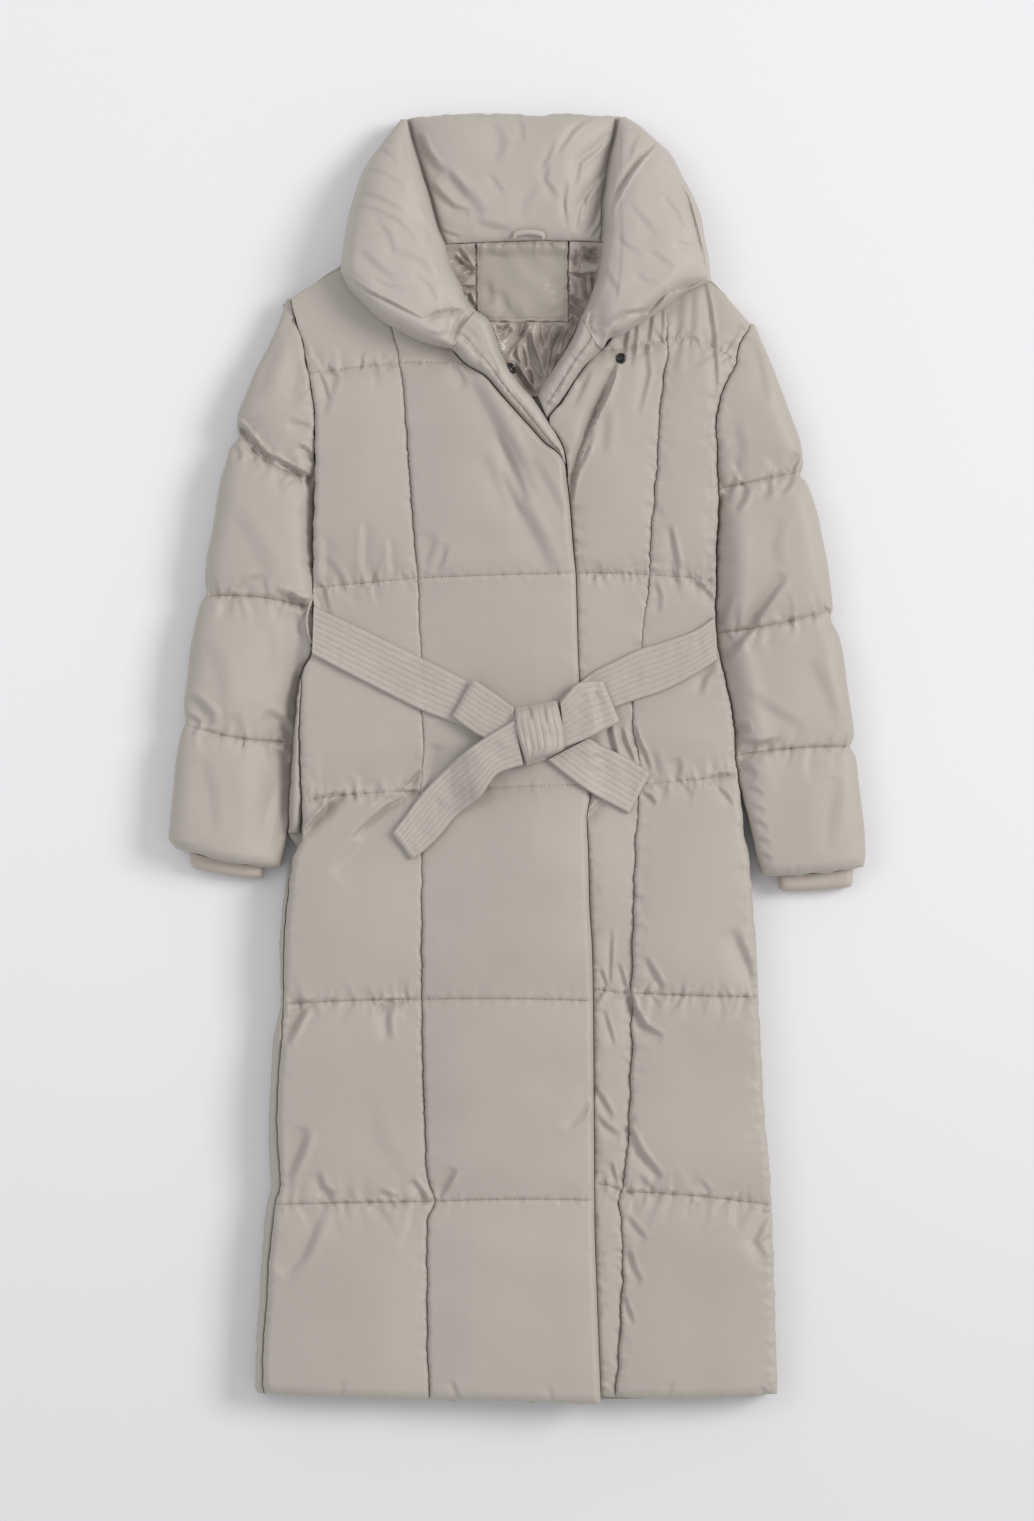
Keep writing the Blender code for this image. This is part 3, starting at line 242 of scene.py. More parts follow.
# %% Skin builder
def rim_of(rows, columns):
    """Indices of a grid's rim, once round."""
    rim = [(0, j) for j in range(columns)] + [(i, columns - 1) for i in range(1, rows)]
    rim += [(rows - 1, j) for j in range(columns - 2, -1, -1)]
    return rim + [(i, 0) for i in range(rows - 2, 0, -1)]


def turning(outline):
    """Above 0 where a closed outline runs anticlockwise, below 0 where it runs clockwise."""
    after = np.roll(outline, -1, axis=0)
    return np.sum(outline[:, 0] * after[:, 1] - after[:, 0] * outline[:, 1])


def unit(vectors):
    return vectors / np.maximum(np.linalg.norm(vectors, axis=1), 1e-9)[:, None]


def outward(outline, rounds=4):
    """Unit vectors that point out of a closed outline.

    They are averaged a little along it, so that small notches don't throw the rings about.
    """
    along = np.roll(outline, -1, axis=0) - np.roll(outline, 1, axis=0)
    out = unit(np.stack([along[:, 1], -along[:, 0]], -1) * np.sign(turning(outline)))
    for _ in range(rounds):
        out = (np.roll(out, 1, axis=0) + 2 * out + np.roll(out, -1, axis=0)) / 4
    return unit(out)


def ring_faces(above, below):
    """Quads between two closed rings of point numbers."""
    return np.stack([below, np.roll(below, -1), np.roll(above, -1), above], -1).tolist()


def facing_out(faces, outline):
    """The faces, turned over where their outline runs clockwise."""
    return [face[::-1] for face in faces] if turning(outline) < 0 else faces


def side_amounts(rows, columns, sides):
    """An amount for each rim point, from those of first row, right side, last row and left side."""
    i, j = np.transpose(rim_of(rows, columns))
    on = np.array([i == 0, j == columns - 1, i == rows - 1, j == 0])
    return (on * np.reshape(sides, (4, 1))).sum(axis=0) / on.sum(axis=0)


SHARP_EDGE = math.radians(52)


def finish_piece(name, points, faces, material, slot, *nodes):
    """Makes the object, gives it its finish and hides the nodes of the frame that it stands for."""
    mesh = bpy.data.meshes.new(name)
    mesh.from_pydata((np.asarray(points, float) * MM).tolist(), [], faces)
    mesh.update()
    mesh.shade_smooth()
    mesh.set_sharp_from_angle(angle=SHARP_EDGE)
    mesh.materials.append(material)
    piece = bpy.data.objects.new(name + "_piece", mesh)
    bpy.context.scene.collection.objects.link(piece)
    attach(piece, "root")
    if nodes:
        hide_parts(*nodes)
    print(piece.name, "has", sum(len(face) - 2 for face in faces), "triangles")
    return piece


def grid_faces(rows, columns, first=0, flip=False):
    i, j = np.meshgrid(np.arange(rows - 1), np.arange(columns - 1), indexing="ij")
    a = (first + i * columns + j).ravel()
    quads = np.stack([a, a + 1, a + columns + 1, a + columns], -1)
    return (quads[:, ::-1] if flip else quads).tolist()


def skin_parts(top, rings, strips=False):
    """Points and faces of a closed skin: a grid of top points and the rings below its rim.

    rings is a floor and its steps. The floor gives the last ring's height. Each step is the share
    of the height from rim to floor, then how far out the ring lies on the first row, the right,
    the last row and the left. strips closes the underside from side to side, as a bent band needs.
    """
    rows, columns = top.shape[:2]
    rim = rim_of(rows, columns)
    edge = np.array([top[i, j] for i, j in rim])
    out = outward(edge[:, :2])
    floor, steps = rings
    base = floor(edge[:, 0], edge[:, 1])
    points = [top.reshape(-1, 3)]
    for share, *sides in steps:
        amounts = side_amounts(rows, columns, sides)
        flat = edge[:, :2] + out * amounts[:, None]
        height = edge[:, 2] + (base - edge[:, 2]) * share
        if share == 1:
            height = floor(flat[:, 0], flat[:, 1])
        points.append(np.column_stack([flat, height]))
    faces = grid_faces(rows, columns)
    count = len(rim)
    above = np.array([i * columns + j for i, j in rim])
    for k in range(len(steps)):
        below = rows * columns + k * count + np.arange(count)
        faces += ring_faces(above, below)
        above = below
    if strips:
        ends = [[count - 1, *range(columns + 1)], list(range(columns + rows - 3, count - rows + 3))]
        between_ends = [[count - i, columns - 1 + i, columns + i, count - i - 1]
                        for i in range(1, rows - 2)]
        faces += [[int(above[k]) for k in face[::-1]] for face in ends + between_ends]
    else:
        faces.append(above[::-1].tolist())
    return np.concatenate(points), facing_out(faces, edge)


def skin(name, top, rings, material, slot, *nodes, strips=False):
    """The same as a finished piece, for the node of its own name unless others are given."""
    return finish_piece(name, *skin_parts(top, rings, strips), material, slot, *(nodes or (name,)))


def level_floor(height):
    return lambda x, y: height + 0 * x


PLAIN = ((0.5, 0, 0, 0, 0), (1, 0, 0, 0, 0))  # straight walls all round

# %% [markdown]
# ## Materials
# The shell is down-proof polyester taffeta: a tight plain weave, rolled hot so that no filling
# gets through. That gives the eye a smooth, nearly matt cloth with a faint sheen on its slopes and
# no visible threads from a step away. The lining is satin, whose long floats throw soft bright
# streaks along every wrinkle. All textures are worked out in object coordinates, in real sizes, so
# they need no unwrapping.

# %% Colour and node helpers
def linear(code):
    """Linear RGBA of an sRGB hex code."""
    parts = [int(code[i : i + 2], 16) / 255 for i in (0, 2, 4)]
    return [p / 12.92 if p <= 0.04045 else ((p + 0.055) / 1.055) ** 2.4 for p in parts] + [1.0]


def add(tree, kind, links=None, **settings):
    """Adds a node. links maps a socket to a value or to another node's output."""
    node = tree.nodes.new(kind)
    for key, value in settings.items():
        setattr(node, key, value)
    for socket, value in (links or {}).items():
        if isinstance(value, bpy.types.NodeSocket):
            tree.links.new(value, node.inputs[socket])
        else:
            node.inputs[socket].default_value = value
    return node


def new_material(name, **shader_values):
    """A material, its node tree, its shader and its object coordinates."""
    print("material", name)
    material = bpy.data.materials.new(name)
    material.use_nodes = True
    tree = material.node_tree
    shader = tree.nodes["Principled BSDF"]
    for socket, value in shader_values.items():
        shader.inputs[socket.replace("_", " ")].default_value = value
    return material, tree, shader, add(tree, "ShaderNodeTexCoord").outputs["Object"]


def noise(tree, place, mm, **values):
    """Noise whose grains are about that many millimetres across."""
    links = {"Vector": place, "Scale": 1 / (mm * MM), **values}
    return add(tree, "ShaderNodeTexNoise", links).outputs["Fac"]


def stripes(tree, place, mm, way, **values):
    """Waves whose bands are that many millimetres apart."""
    links = {"Vector": place, "Scale": 2 * math.pi / 20 / (mm * MM), **values}
    return add(tree, "ShaderNodeTexWave", links, bands_direction=way).outputs["Fac"]


def reckon(tree, operation, *values):
    return add(tree, "ShaderNodeMath", dict(enumerate(values)), operation=operation).outputs[0]


def paint(tree, shader, amount, dark, light, low=0.0, high=1.0):
    """Colours the shader between two tones, dark at the low amount and light at the high one."""
    tone = add(tree, "ShaderNodeValToRGB", {"Fac": amount})
    for element, place, colour in zip(tone.color_ramp.elements, (low, high), (dark, light)):
        element.position, element.color = place, colour
    tree.links.new(tone.outputs["Color"], shader.inputs["Base Color"])


def vary_roughness(tree, shader, amount, rough, smooth_to, **span):
    roughness_spread_and_painted_floor_shade = add(tree, "ShaderNodeMapRange",
               {"Value": amount, "To Min": rough, "To Max": smooth_to, **span})
    tree.links.new(roughness_spread_and_painted_floor_shade.outputs["Result"], shader.inputs["Roughness"])


def relief(tree, shader, *layers):
    """Bumps on the surface, coarsest first: each is a height, a strength and a depth in mm."""
    under = {}
    for height, strength, mm in layers:
        links = {"Height": height, "Strength": strength, "Distance": mm * MM, **under}
        under = {"Normal": add(tree, "ShaderNodeBump", links).outputs["Normal"]}
    tree.links.new(under["Normal"], shader.inputs["Normal"])


print("middle grey in linear light:", round(linear("808080")[0], 3))

# %% Taffeta
THREAD = 0.9  # the real threads lie 0.12 mm apart; drawn this coarse so that the weave can show


def taffeta(name, light, dark, roughness, cloud=150):
    """Plain-weave polyester: cloudy colour, a fine grid of threads, a faint nap of sheen."""
    material, tree, shader, place = new_material(
        name, Roughness=roughness, Sheen_Weight=0.12, Sheen_Roughness=0.45, IOR=1.5)
    clouds, slub = noise(tree, place, cloud, Detail=3.0), noise(tree, place, 2.2, Detail=2.0)
    amount = reckon(tree, "MULTIPLY_ADD", slub, 0.2, reckon(tree, "MULTIPLY", clouds, 0.8))
    paint(tree, shader, amount, linear(dark), linear(light), 0.3, 0.7)
    vary_roughness(tree, shader, clouds, roughness - 0.05, roughness + 0.05,
                   **{"From Min": 0.3, "From Max": 0.7})
    warp, weft = (stripes(tree, place, THREAD, way, Distortion=0.6) for way in "XY")
    crumple = noise(tree, place, 9.0, Detail=3.0, Roughness=0.45)
    relief(tree, shader, (crumple, 0.17, 1.1), (reckon(tree, "MULTIPLY", warp, weft), 0.35, 0.02))
    return material


shell_taffeta = taffeta("shell_polyester_taffeta", "b2aca2", "a9a399", 0.55)
# Painted light: the collar is the same cloth as the shell, and its lighter tone stands for the
# extra light its raised pillow catches.
collar_lit_taffeta = taffeta("collar_taffeta_with_painted_light", "b7b1a8", "aea89e", 0.54)
# Painted light: the belt is the shell cloth, and its slightly lighter tone stands for the light it
# catches on top of the coat.
belt_lit_taffeta = taffeta("belt_taffeta_with_painted_light", "b6b0a6", "ada79d", 0.58, cloud=60)
# Painted shade: the patch is the shell cloth, and its darker tone stands for the shade it lies in,
# low in the neckline under the collar.
patch_shaded_taffeta = taffeta("patch_taffeta_with_painted_shade", "aba297", "a0968b", 0.46, cloud=60)
cuff_taffeta = taffeta("inner_cuff_polyester_taffeta", "beb3a8", "b4aa9f", 0.62, cloud=60)

# %% [markdown]
# ## Satin, thread, metal
# Satin is smoother than taffeta and a little brown, so its folds are darker in the hollows and
# brighter on the crests. Its colour is painted in random clouds whose dark end is deepened as
# painted shade, for more contrast than the folds give. Sewing thread is twisted polyester. The
# press stud is stamped brass with black stoving enamel: a hard gloss coat, dark, with small sharp
# highlights.

# %% Satin lining
def satin(name, light, dark):
    """Satin: soft gloss that runs one way, and the fine slant of its long floats."""
    material, tree, shader, place = new_material(
        name, Roughness=0.28, Sheen_Weight=0.3, Sheen_Roughness=0.35, IOR=1.5, Anisotropic=0.4)
    # Painted shade: random clouds of colour, their dark end made deep for the contrast of the
    # folds.
    paint(tree, shader, noise(tree, place, 22, Detail=4.0), linear(dark), linear(light), 0.35, 0.65)
    floats = stripes(tree, place, 1.1, "DIAGONAL", Distortion=1.5, Detail=1.0)
    relief(tree, shader, (floats, 0.3, 0.03))
    return material


lining_satin = satin("lining_satin_with_painted_shade", "b3a79e", "857a72")


# %% Thread and enamel
def dimmed(code, share):
    return [share * value for value in linear(code)[:3]] + [1]


def thread(name, code):
    """Twisted polyester: fine bands across the run of the thread."""
    material, tree, shader, place = new_material(name, Roughness=0.5, Sheen_Weight=0.2, IOR=1.5)
    paint(tree, shader, stripes(tree, place, 0.7, "DIAGONAL"), dimmed(code, 0.8), linear(code))
    return material


def enamel(name, code, roughness):
    """Stoving enamel: dark and glossy, with the faint orange peel of a baked coat."""
    material, tree, shader, place = new_material(
        name, IOR=1.52, Coat_Weight=0.5, Coat_Roughness=0.12)
    peel = noise(tree, place, 1.4, Detail=2.0)
    paint(tree, shader, peel, dimmed(code, 0.7), linear(code))
    vary_roughness(tree, shader, peel, roughness, roughness + 0.12)
    relief(tree, shader, (peel, 0.25, 0.05))
    return material


belt_thread = thread("belt_polyester_thread", "8b8379")
# Painted light: the carrier's thread is painted lighter than the belt's, so that it stays bright in
# the shade beside the belt.
carrier_lit_thread = thread("carrier_thread_with_painted_light", "c6beb2")
dark_thread = thread("facing_polyester_thread", "857c72")
stud_enamel = enamel("stud_black_enamel", "1b1a1e", 0.2)
zip_nylon = enamel("zip_nylon_coil", "2c292b", 0.4)

# %% [markdown]
# ## The body's lines
# The maker's pattern is a few vertical seams and some rows of quilting across them. The frame has
# the same lines, so each panel fits over its solid. y is measured up the coat, and each row of the
# table says where the outline and the seams are at that height.

# %% Lines of the body
# The body's vertical lines. side_r and side_l are the outline, seam_r the right side seam (the
# pocket's line between y 82 and -78), the princess seams part side and centre fronts.
BODY_COLUMNS = ("y", "side_r", "seam_r", "princess_r", "princess_l", "side_l")
BODY = (
    (522, -236, -236, -142, 150, 241),
    (478, -236, -236, -138, 153, 241),
    (452, -230, -230, -133, 155, 241),
    (430, -223, -223, -127, 156, 230),
    (410, -220, -220, -123, 154, 226),
    (385, -215, -215, -119.5, 150.5, 214),
    (350, -211, -211, -116.5, 147, 206),
    (300, -211, -211, -113, 144.5, 207),
    (260, -212, -212, -110, 141, 208.5),
    (220, -213, -213, -107, 137.5, 206),
    (187, -213, -213, -104, 137, 206),
    (150, -213, -213, -103, 132, 205),
    (108, -215, -215, -101, 127, 209),
    (95, -223, -222, -100.5, 125, 212),
    (83, -227, -224.5, -100, 122, 215),
    (60, -230, -226, -100, 120, 220),
    (30, -233, -227, -99, 119.5, 224.5),
    (0, -235, -226.5, -98, 127, 226),
    (-36, -237.5, -225, -102, 126, 231),
    (-80, -239, -224, -100.5, 123, 235.5),
    (-92, -231, -229, -100, 122.5, 238),
    (-110, -238, -235, -100, 121.5, 241),
    (-150, -245, -239.5, -100, 120.5, 244),
    (-200, -249, -243, -100, 119.3, 248),
    (-250, -247.5, -243.5, -100, 118.2, 250),
    (-300, -256, -246, -99.3, 118.7, 252.5),
    (-340, -258, -249, -98, 117, 254.5),
    (-380, -260, -250, -96.5, 115.8, 257),
    (-425, -259.5, -247.5, -95, 112, 261.5),
    (-443, -257, -246.5, -92, 109, 262.5),
    (-460, -261, -251, -86.5, 105.5, 263.5),
    (-485, -264.5, -254.5, -94.5, 107.5, 264.5),
    (-530, -268, -259, -94.5, 109.2, 266),
    (-570, -270, -261, -94, 107.5, 267.3),
    (-610, -273, -264.5, -94, 105.7, 268.2),
    (-645, -274, -265, -92.5, 102.8, 269.6),
    (-672, -274, -262, -91, 101, 269),
)

# The right front's free edge: hidden under the collar, then along the facing's outer edge, then
# the overlap's edge down to the hem. The left front's edge meets it where the fronts cross.
RIGHT_FRONT_EDGE = (  # y, x
    (522, -104), (470, -86), (427, -70.5), (410, -55.5), (396, -34), (380, -20.5), (358, -1),
    (345, 11), (325, 29.5), (317, 41), (304, 49), (290, 50.5), (270, 53), (215, 57.5),
    (190, 60), (120, 62), (80, 64), (20, 71), (-36, 75), (-63, 71.5), (-100, 73), (-150, 74),
    (-200, 77), (-252, 78), (-400, 79), (-480, 79.5), (-560, 82), (-640, 85), (-672, 86),
)
LEFT_FRONT_EDGE = (  # y, x
    (522, 118), (470, 108), (440, 99), (433, 95), (415, 76), (395, 60.5), (370, 45), (352, 31.5),
    (348, 31.5), (335, 40.5), (320, 47.5), (300, 50.5), (290, 51),
)

# Quilting rows of each panel: y at its left edge, middle and right edge as laid, and how full the
# block above that row is filled.
LEVELS_SIDE_R = (
    (-661, -665, -667, 0.95), (-464, -462, -461, 1), (-256, -252, -251, 1),
    (-45, -37, -35, 0.62), (177, 182, 187, 0.85), (400, 406, 411, 0.45), (478, 506, 521, 0),
)
LEVELS_CENTRE_R = (
    (-667, -668.5, -671, 1), (-461, -458, -459, 1), (-251, -250, -252, 1),
    (-35, -30, -27, 0.6), (187, 190, 192, 0.9), (411, 411, 411, 0.45), (521, 521, 521, 0),
)
LEVELS_CENTRE_L = (
    (-663, -664, -664, 0.72), (-443, -445, -451, 0.72), (-240, -243, -244, 0.72),
    (-27, -27, -27, 0.5), (192, 192, 190, 0.8), (424, 428, 435, 0.45), (517, 517, 517, 0),
)
LEVELS_SIDE_L = (
    (-664, -666, -661, 0.95), (-451, -455, -465, 1), (-244, -247, -248, 1),
    (-27, -23, -17, 0.62), (190, 188, 183, 0.85), (435, 432, 412, 0.45), (517, 497, 451.5, 0),
)
print("body table:", len(BODY), "heights of", len(BODY_COLUMNS) - 1, "lines")

# %% Heights of the body
BACK_TOP = 26.0
FRONT_FLOOR = BACK_TOP + GAP
FRONT_SEAM = 36.0  # bottom of the valley at a seam or a quilting row
FRONT_PUFF = 21.0
LAP_TILT, LAP_TILT_FROM, LAP_RISE, LEAST_WALL = 0.05, -140.0, 10.0, 3.0
LAP_TOP = 288.0  # the y where the fronts cross
UNDERLAP_EDGE, UNDERLAP_STEP = -45.0, 1.6
COLLAR_FLOOR, COLLAR_LEVEL, COLLAR_SLOPE, COLLAR_CLEAR = 46.3, 430.0, 0.106, 0.8
SEAM_REACH = 46.0
POINT_SPACING = 2.1  # on the panels that show


def lap_plane(x, y=None):
    """Height of the gently sloping plane that the right front laps over on, the same for any y."""
    return FRONT_FLOOR + LAP_TILT * (x - LAP_TILT_FROM)


def collar_plane(y):
    return COLLAR_FLOOR - COLLAR_SLOPE * (y - COLLAR_LEVEL)


def body_line(name, wave=0.0, seed=0):
    """A line of the body, with the small random waver of a puckered seam."""
    base = line_of(BODY, BODY_COLUMNS, name)
    return lambda y: base(y) + wave * (wander(np.asarray(y, float), 31, seed)
                                       + 0.5 * wander(np.asarray(y, float), 7, seed + 30))


SIDE_R = body_line("side_r", 0.5, 11)
SEAM_R = body_line("seam_r", 0.4, 12)
PRINCESS_R = body_line("princess_r", 0.6, 13)
PRINCESS_L = body_line("princess_l", 0.8, 14)
SIDE_L = body_line("side_l", 0.5, 15)
RIGHT_EDGE = curve(RIGHT_FRONT_EDGE)
LEFT_EDGE = curve(LEFT_FRONT_EDGE)


def left_front_edge(y):
    """Where the left front comes into view: at the lap's edge, and above it at its own facing."""
    return np.where(y < 290, RIGHT_EDGE(y), LEFT_EDGE(y))


print("width at the hem:", round(float(SIDE_L(-650) - SIDE_R(-650))), "mm")

# %% [markdown]
# ## Quilted panels
# Between its seams the filling lifts the cloth: very steeply right at the stitching, where the two
# sides of a seam nearly touch, and then in a long soft swell. So each kind of seam has a notch, a
# quarter ellipse of the distance to it, and a swell that reaches much further. A row of quilting
# holds the cloth down far less than a sewn seam, and the lap's free edge hardly at all.

# %% Panel
# Share of the filling's height kept at the stitching, reach of the notch, share and reach of the
# swell
ROW = (0.70, 5, 0.22, 60)
HEM = (0.30, 12, 0.10, 60)
PRINCESS = (0.50, 4.6, 0.24, 55)
LAP = (0.28, 7, 0.12, 34)
UNDERLAP = (0.62, 6, 0.10, 30)
HEM_WAVE = 0.9  # waver of a panel's lower edge
ROW_BLEND = 20.0  # how far from a row one block's fill goes over into the next one's


def SIDE(y):
    """A side seam: a little more open on the skirt than where a sleeve lies against it."""
    sewn = ramp(y, 150, 190)
    return 0.42 + 0.10 * sewn, 8.0 - 2.0 * sewn, 0.20, 60.0


def filled(distance, shape):
    """Share of the filling's height at a distance from a line of stitching."""
    kept, notch, soft, reach = shape
    swell_up = np.sin(np.pi / 2 * np.clip(distance / reach, 0, 1))
    return kept + (1 - kept - soft) * dome(distance, notch) + soft * swell_up


class Panel:
    """A padded panel between two edges that run up the garment, with quilting rows across it."""

    def __init__(self, left, right, levels, seam, puff, shapes, row_shape=ROW, lift=0.0):
        self.left, self.right, self.levels, self.puff = left, right, levels, puff
        self.seam, self.lift = seam, lift  # the left seam's valley, and the right one's above it
        self.shapes, self.row_shape = shapes, row_shape  # of left and right edge, and of the rows

    def row(self, level, s):
        """y of a quilting row at fraction s across the panel: a parabola through three points."""
        a, b, c = level[:3]
        return a * (1 - s) * (1 - 2 * s) + 4 * b * s * (1 - s) + c * s * (2 * s - 1)

    def row_line(self, level, inset=4.0, count=24):
        """Points along a quilting row."""
        s = even(count)
        y = self.row(level, s)
        left, right = self.left(y) + inset, self.right(y) - inset
        return np.column_stack([left + (right - left) * s, y])

    def grid(self, spacing=POINT_SPACING, inset=(GAP / 2, GAP / 2)):
        """Points over the panel, with a row of them on each quilting row."""
        along = np.linspace(self.levels[0][1], self.levels[-1][1], 60)
        wide = float(np.max(self.right(along) - self.left(along)))
        s = eased(max(8, int(wide / spacing)))
        lines = []
        for low, high in zip(self.levels[:-1], self.levels[1:]):
            steps = eased(max(6, int((high[1] - low[1]) / spacing)))
            for t in steps if high is self.levels[-1] else steps[:-1]:
                lines.append(self.row(low, s) * (1 - t) + self.row(high, s) * t)
        y = np.array(lines)
        left, right = self.left(y), self.right(y)
        y = y + HEM_WAVE * wander(left + (right - left) * s, 27, 8) * (1 - ramp(y - y[0], 0, 30))
        narrow = np.clip((right - left) / 20, 0.05, 1)
        left, right = left + inset[0] * narrow, right - inset[1] * narrow
        return left + (right - left) * s, y

    def height(self, x, y):
        """Top of the panel as the filling alone would have it."""
        left, right = self.left(y), self.right(y)
        s = np.clip((x - left) / np.maximum(right - left, 1), 0, 1)
        rows = np.array([self.row(level, s) for level in self.levels])
        fills = [level[3] for level in self.levels]
        fill = fills[0] + sum((fills[k] - fills[k - 1]) * ramp(y - rows[k], -ROW_BLEND, ROW_BLEND)
                              for k in range(1, len(rows) - 1))
        crown = filled(np.maximum(y - rows[0], 0), HEM) * dome(rows[-1] - y, SEAM_REACH)
        for row in rows[1:-1]:
            crown = crown * filled(np.abs(y - row), self.row_shape)
        for distance, shape in zip((x - left, right - x), self.shapes):
            crown = crown * filled(np.maximum(distance, 0), shape(y) if callable(shape) else shape)
        return self.seam + self.lift * s + self.puff * fill * crown


FRONTS = {
    "front_side_right": (SEAM_R, PRINCESS_R, LEVELS_SIDE_R, (SIDE, PRINCESS), 0.0),
    "front_centre_right": (PRINCESS_R, RIGHT_EDGE, LEVELS_CENTRE_R, (PRINCESS, LAP), LAP_RISE),
    "front_centre_left": (left_front_edge, PRINCESS_L, LEVELS_CENTRE_L, (UNDERLAP, PRINCESS), 0.0),
    "front_side_left": (PRINCESS_L, SIDE_L, LEVELS_SIDE_L, (PRINCESS, SIDE), 0.0),
}
FRONTS = {name: Panel(left, right, levels, FRONT_SEAM, FRONT_PUFF, shapes, lift=lift)
          for name, (left, right, levels, shapes, lift) in FRONTS.items()}


print("front panels:", ", ".join(FRONTS))

# %% [markdown]
# ## Creases of the fronts
# These are the folds a viewer would name: the fan under the left facing, the long soft troughs
# from the collar towards the lap, the hard little folds where a quilting row meets a seam. Each
# row has a width and a depth, and then x and y of each point that the crease runs through.

# %% Crease tables of the fronts
BODY_CREASES = (
    (11, 5.8, -60, 406, -47, 381, -30, 352, -14, 319, 0, 289, 9, 268),
    (4, 2.8, -24, 338, -12, 314, 0, 288, 8, 266),
    (10, 4.8, -19, 297, -9, 274, 3, 251, 17, 225, 33, 190), (4, 1.8, -20, 300, -10, 277, 4, 248),
    (8, 2.6, -40, 316, -27, 286, -14, 254), (5, 3.2, -70, 410, -62, 398, -55, 384),
    (6, 2.6, -88, 233, -93, 216, -99, 198), (7, 2.4, 12, 308, 30, 280, 46, 250),
    (3, 9, 101, 414, 96, 392, 84, 366, 72, 340, 62, 314, 57, 290, 54, 266),
    (6, 4.4, 96, 404, 86, 374, 76, 350, 70, 330), (3, 5.6, 77, 340, 70, 318, 60, 296, 55, 284),
    (7, 3, 89, 366, 88, 340, 86, 316), (4, 2.6, 74, 404, 66, 386, 56, 364),
    (3.4, 2.8, 131, 430, 134, 400, 124, 358), (3.2, 3.4, 112, 446, 110, 430, 107, 410),
    (2.6, 2, 122, 456, 121, 436, 117, 404), (3, 2.6, 138, 464, 135, 440, 131, 418),
    (2.6, 1.5, 149, 470, 149, 452, 147, 430), (6, 2.2, 168, 484, 165, 440, 160, 398),
    (5, 1.6, 181, 488, 179, 450, 176, 410),
    (3, 3.8, 193, 495, 198, 470, 202, 440, 204, 410, 205, 378), (5, 3, -200, 180, -198, 228),
    (5, 3.4, -160, 184, -157, 244), (4, 2, -130, 186, -132, 228),
    (4, 2.6, -75, 222, -80, 205, -88, 192), (4, 4.2, 155, 242, 161, 215, 166, 190),
    (4, 5, 178, 186, 192, 175, 206, 158), (4, 2.5, 140, 186, 146, 166, 144, 150),
    (5, 2, -190, 400, -196, 380, -204, 356), (3.6, 10, -223, -82, -210, -65, -180, -36),
    (7, 5, -170, -80, -150, -62, -132, -46, -106, -34),
    (2.6, 7, -172, -84, -153, -66, -135, -51, -116, -41),
    (10, 5, -190, -122, -160, -88, -130, -62), (3, 6, -118, -31, -110, -25, -101, -13),
    (3, 5, -118, -38, -108, -36, -101, -40), (8, 7.5, -90, -34, -90, -12, -86, 14),
    (3, 4.4, -200, -52, -196, -40, -186, -36), (4.4, 7, 91, 38, 94, 24, 99, 4, 104, -8),
    (2.8, 6.4, 106, 32, 111, 16, 119, -4), (3.2, 5, 119, 34, 123, 18, 131, 2, 136, -14),
    (6, 3, 138, 8, 143, -10, 150, -26), (5, 4, 164, 0, 165, -12, 162, -24),
    (3, 6, 128, -37, 136, -41, 142, -49), (4, 5.4, 71, -65, 79, -55, 90, -43),
    (5, 4.4, 204, 98, 192, 84, 186, 66), (4, 4.4, -203, 152, -209, 168, -211, 184),
    (3, 3.4, 200, -22, 212, -18, 226, -19), (3, 3, 202, -28, 214, -38, 222, -50),
    (3, 3, -208, 400, -202, 388, -198, 372), (5, 9.5, -220, -254, -231, -274, -243, -296),
    (3.2, 5, -147, -266, -138, -254, -118, -253), (5, 4.2, -135, -256, -138, -272, -136, -294),
    (7, 7, -221, -384, -230, -410, -243, -440), (5, 4.4, -210, -430, -205, -447, -193, -456),
    (4, 3, -146, -450, -124, -460), (4, 5, -111, -438, -95, -463),
    (8, 5.2, -205, -467, -225, -515, -245, -537), (12, 1.4, -160, -350, -150, -400, -120, -440),
    (4, 5.4, -66, -426, -75, -443, -84, -456), (5, 3.4, 79, -340, 65, -365, 49, -385),
    (3, 2, 78, -352, 66, -374, 56, -384), (4, 3.8, 78, -343, 86, -356, 97, -375),
    (4, 3.8, 80, -372, 90, -384, 107, -396), (3, 2.6, 96, -178, 94, -236),
    (3, 3, 103, -213, 112, -243), (3, 3, 85, -220, 90, -237), (3, 2.4, 88, -262, 99, -300),
    (3, 2.8, 95, -420, 101, -443), (4, 7, 113, -240, 119, -262, 130, -280, 150, -292),
    (4, 6.4, 112, -382, 126, -410, 148, -438), (7, 5.6, 220, -178, 236, -215, 246, -242),
    (4, 4.2, 130, -208, 141, -226, 149, -242), (4, 3.6, 112, -478, 122, -490, 132, -502),
    (4, 3.6, 112, -508, 118, -530, 127, -547), (3, 3.2, 108, -558, 119, -588),
    (4, 2.8, 124, -434, 141, -453), (3, 2.2, 188, -438, 200, -454),
    (5, 3.6, 263, -468, 251, -485, 243, -502, 257, -522), (3, 2.2, -70, -646, -61, -667),
    (3, 2.2, 250, -653, 262, -664), (3, 1.6, 30, -650, 36, -668), (3, 1.8, 160, -648, 154, -666),
    (3, 1.5, -180, -648, -186, -664),
)

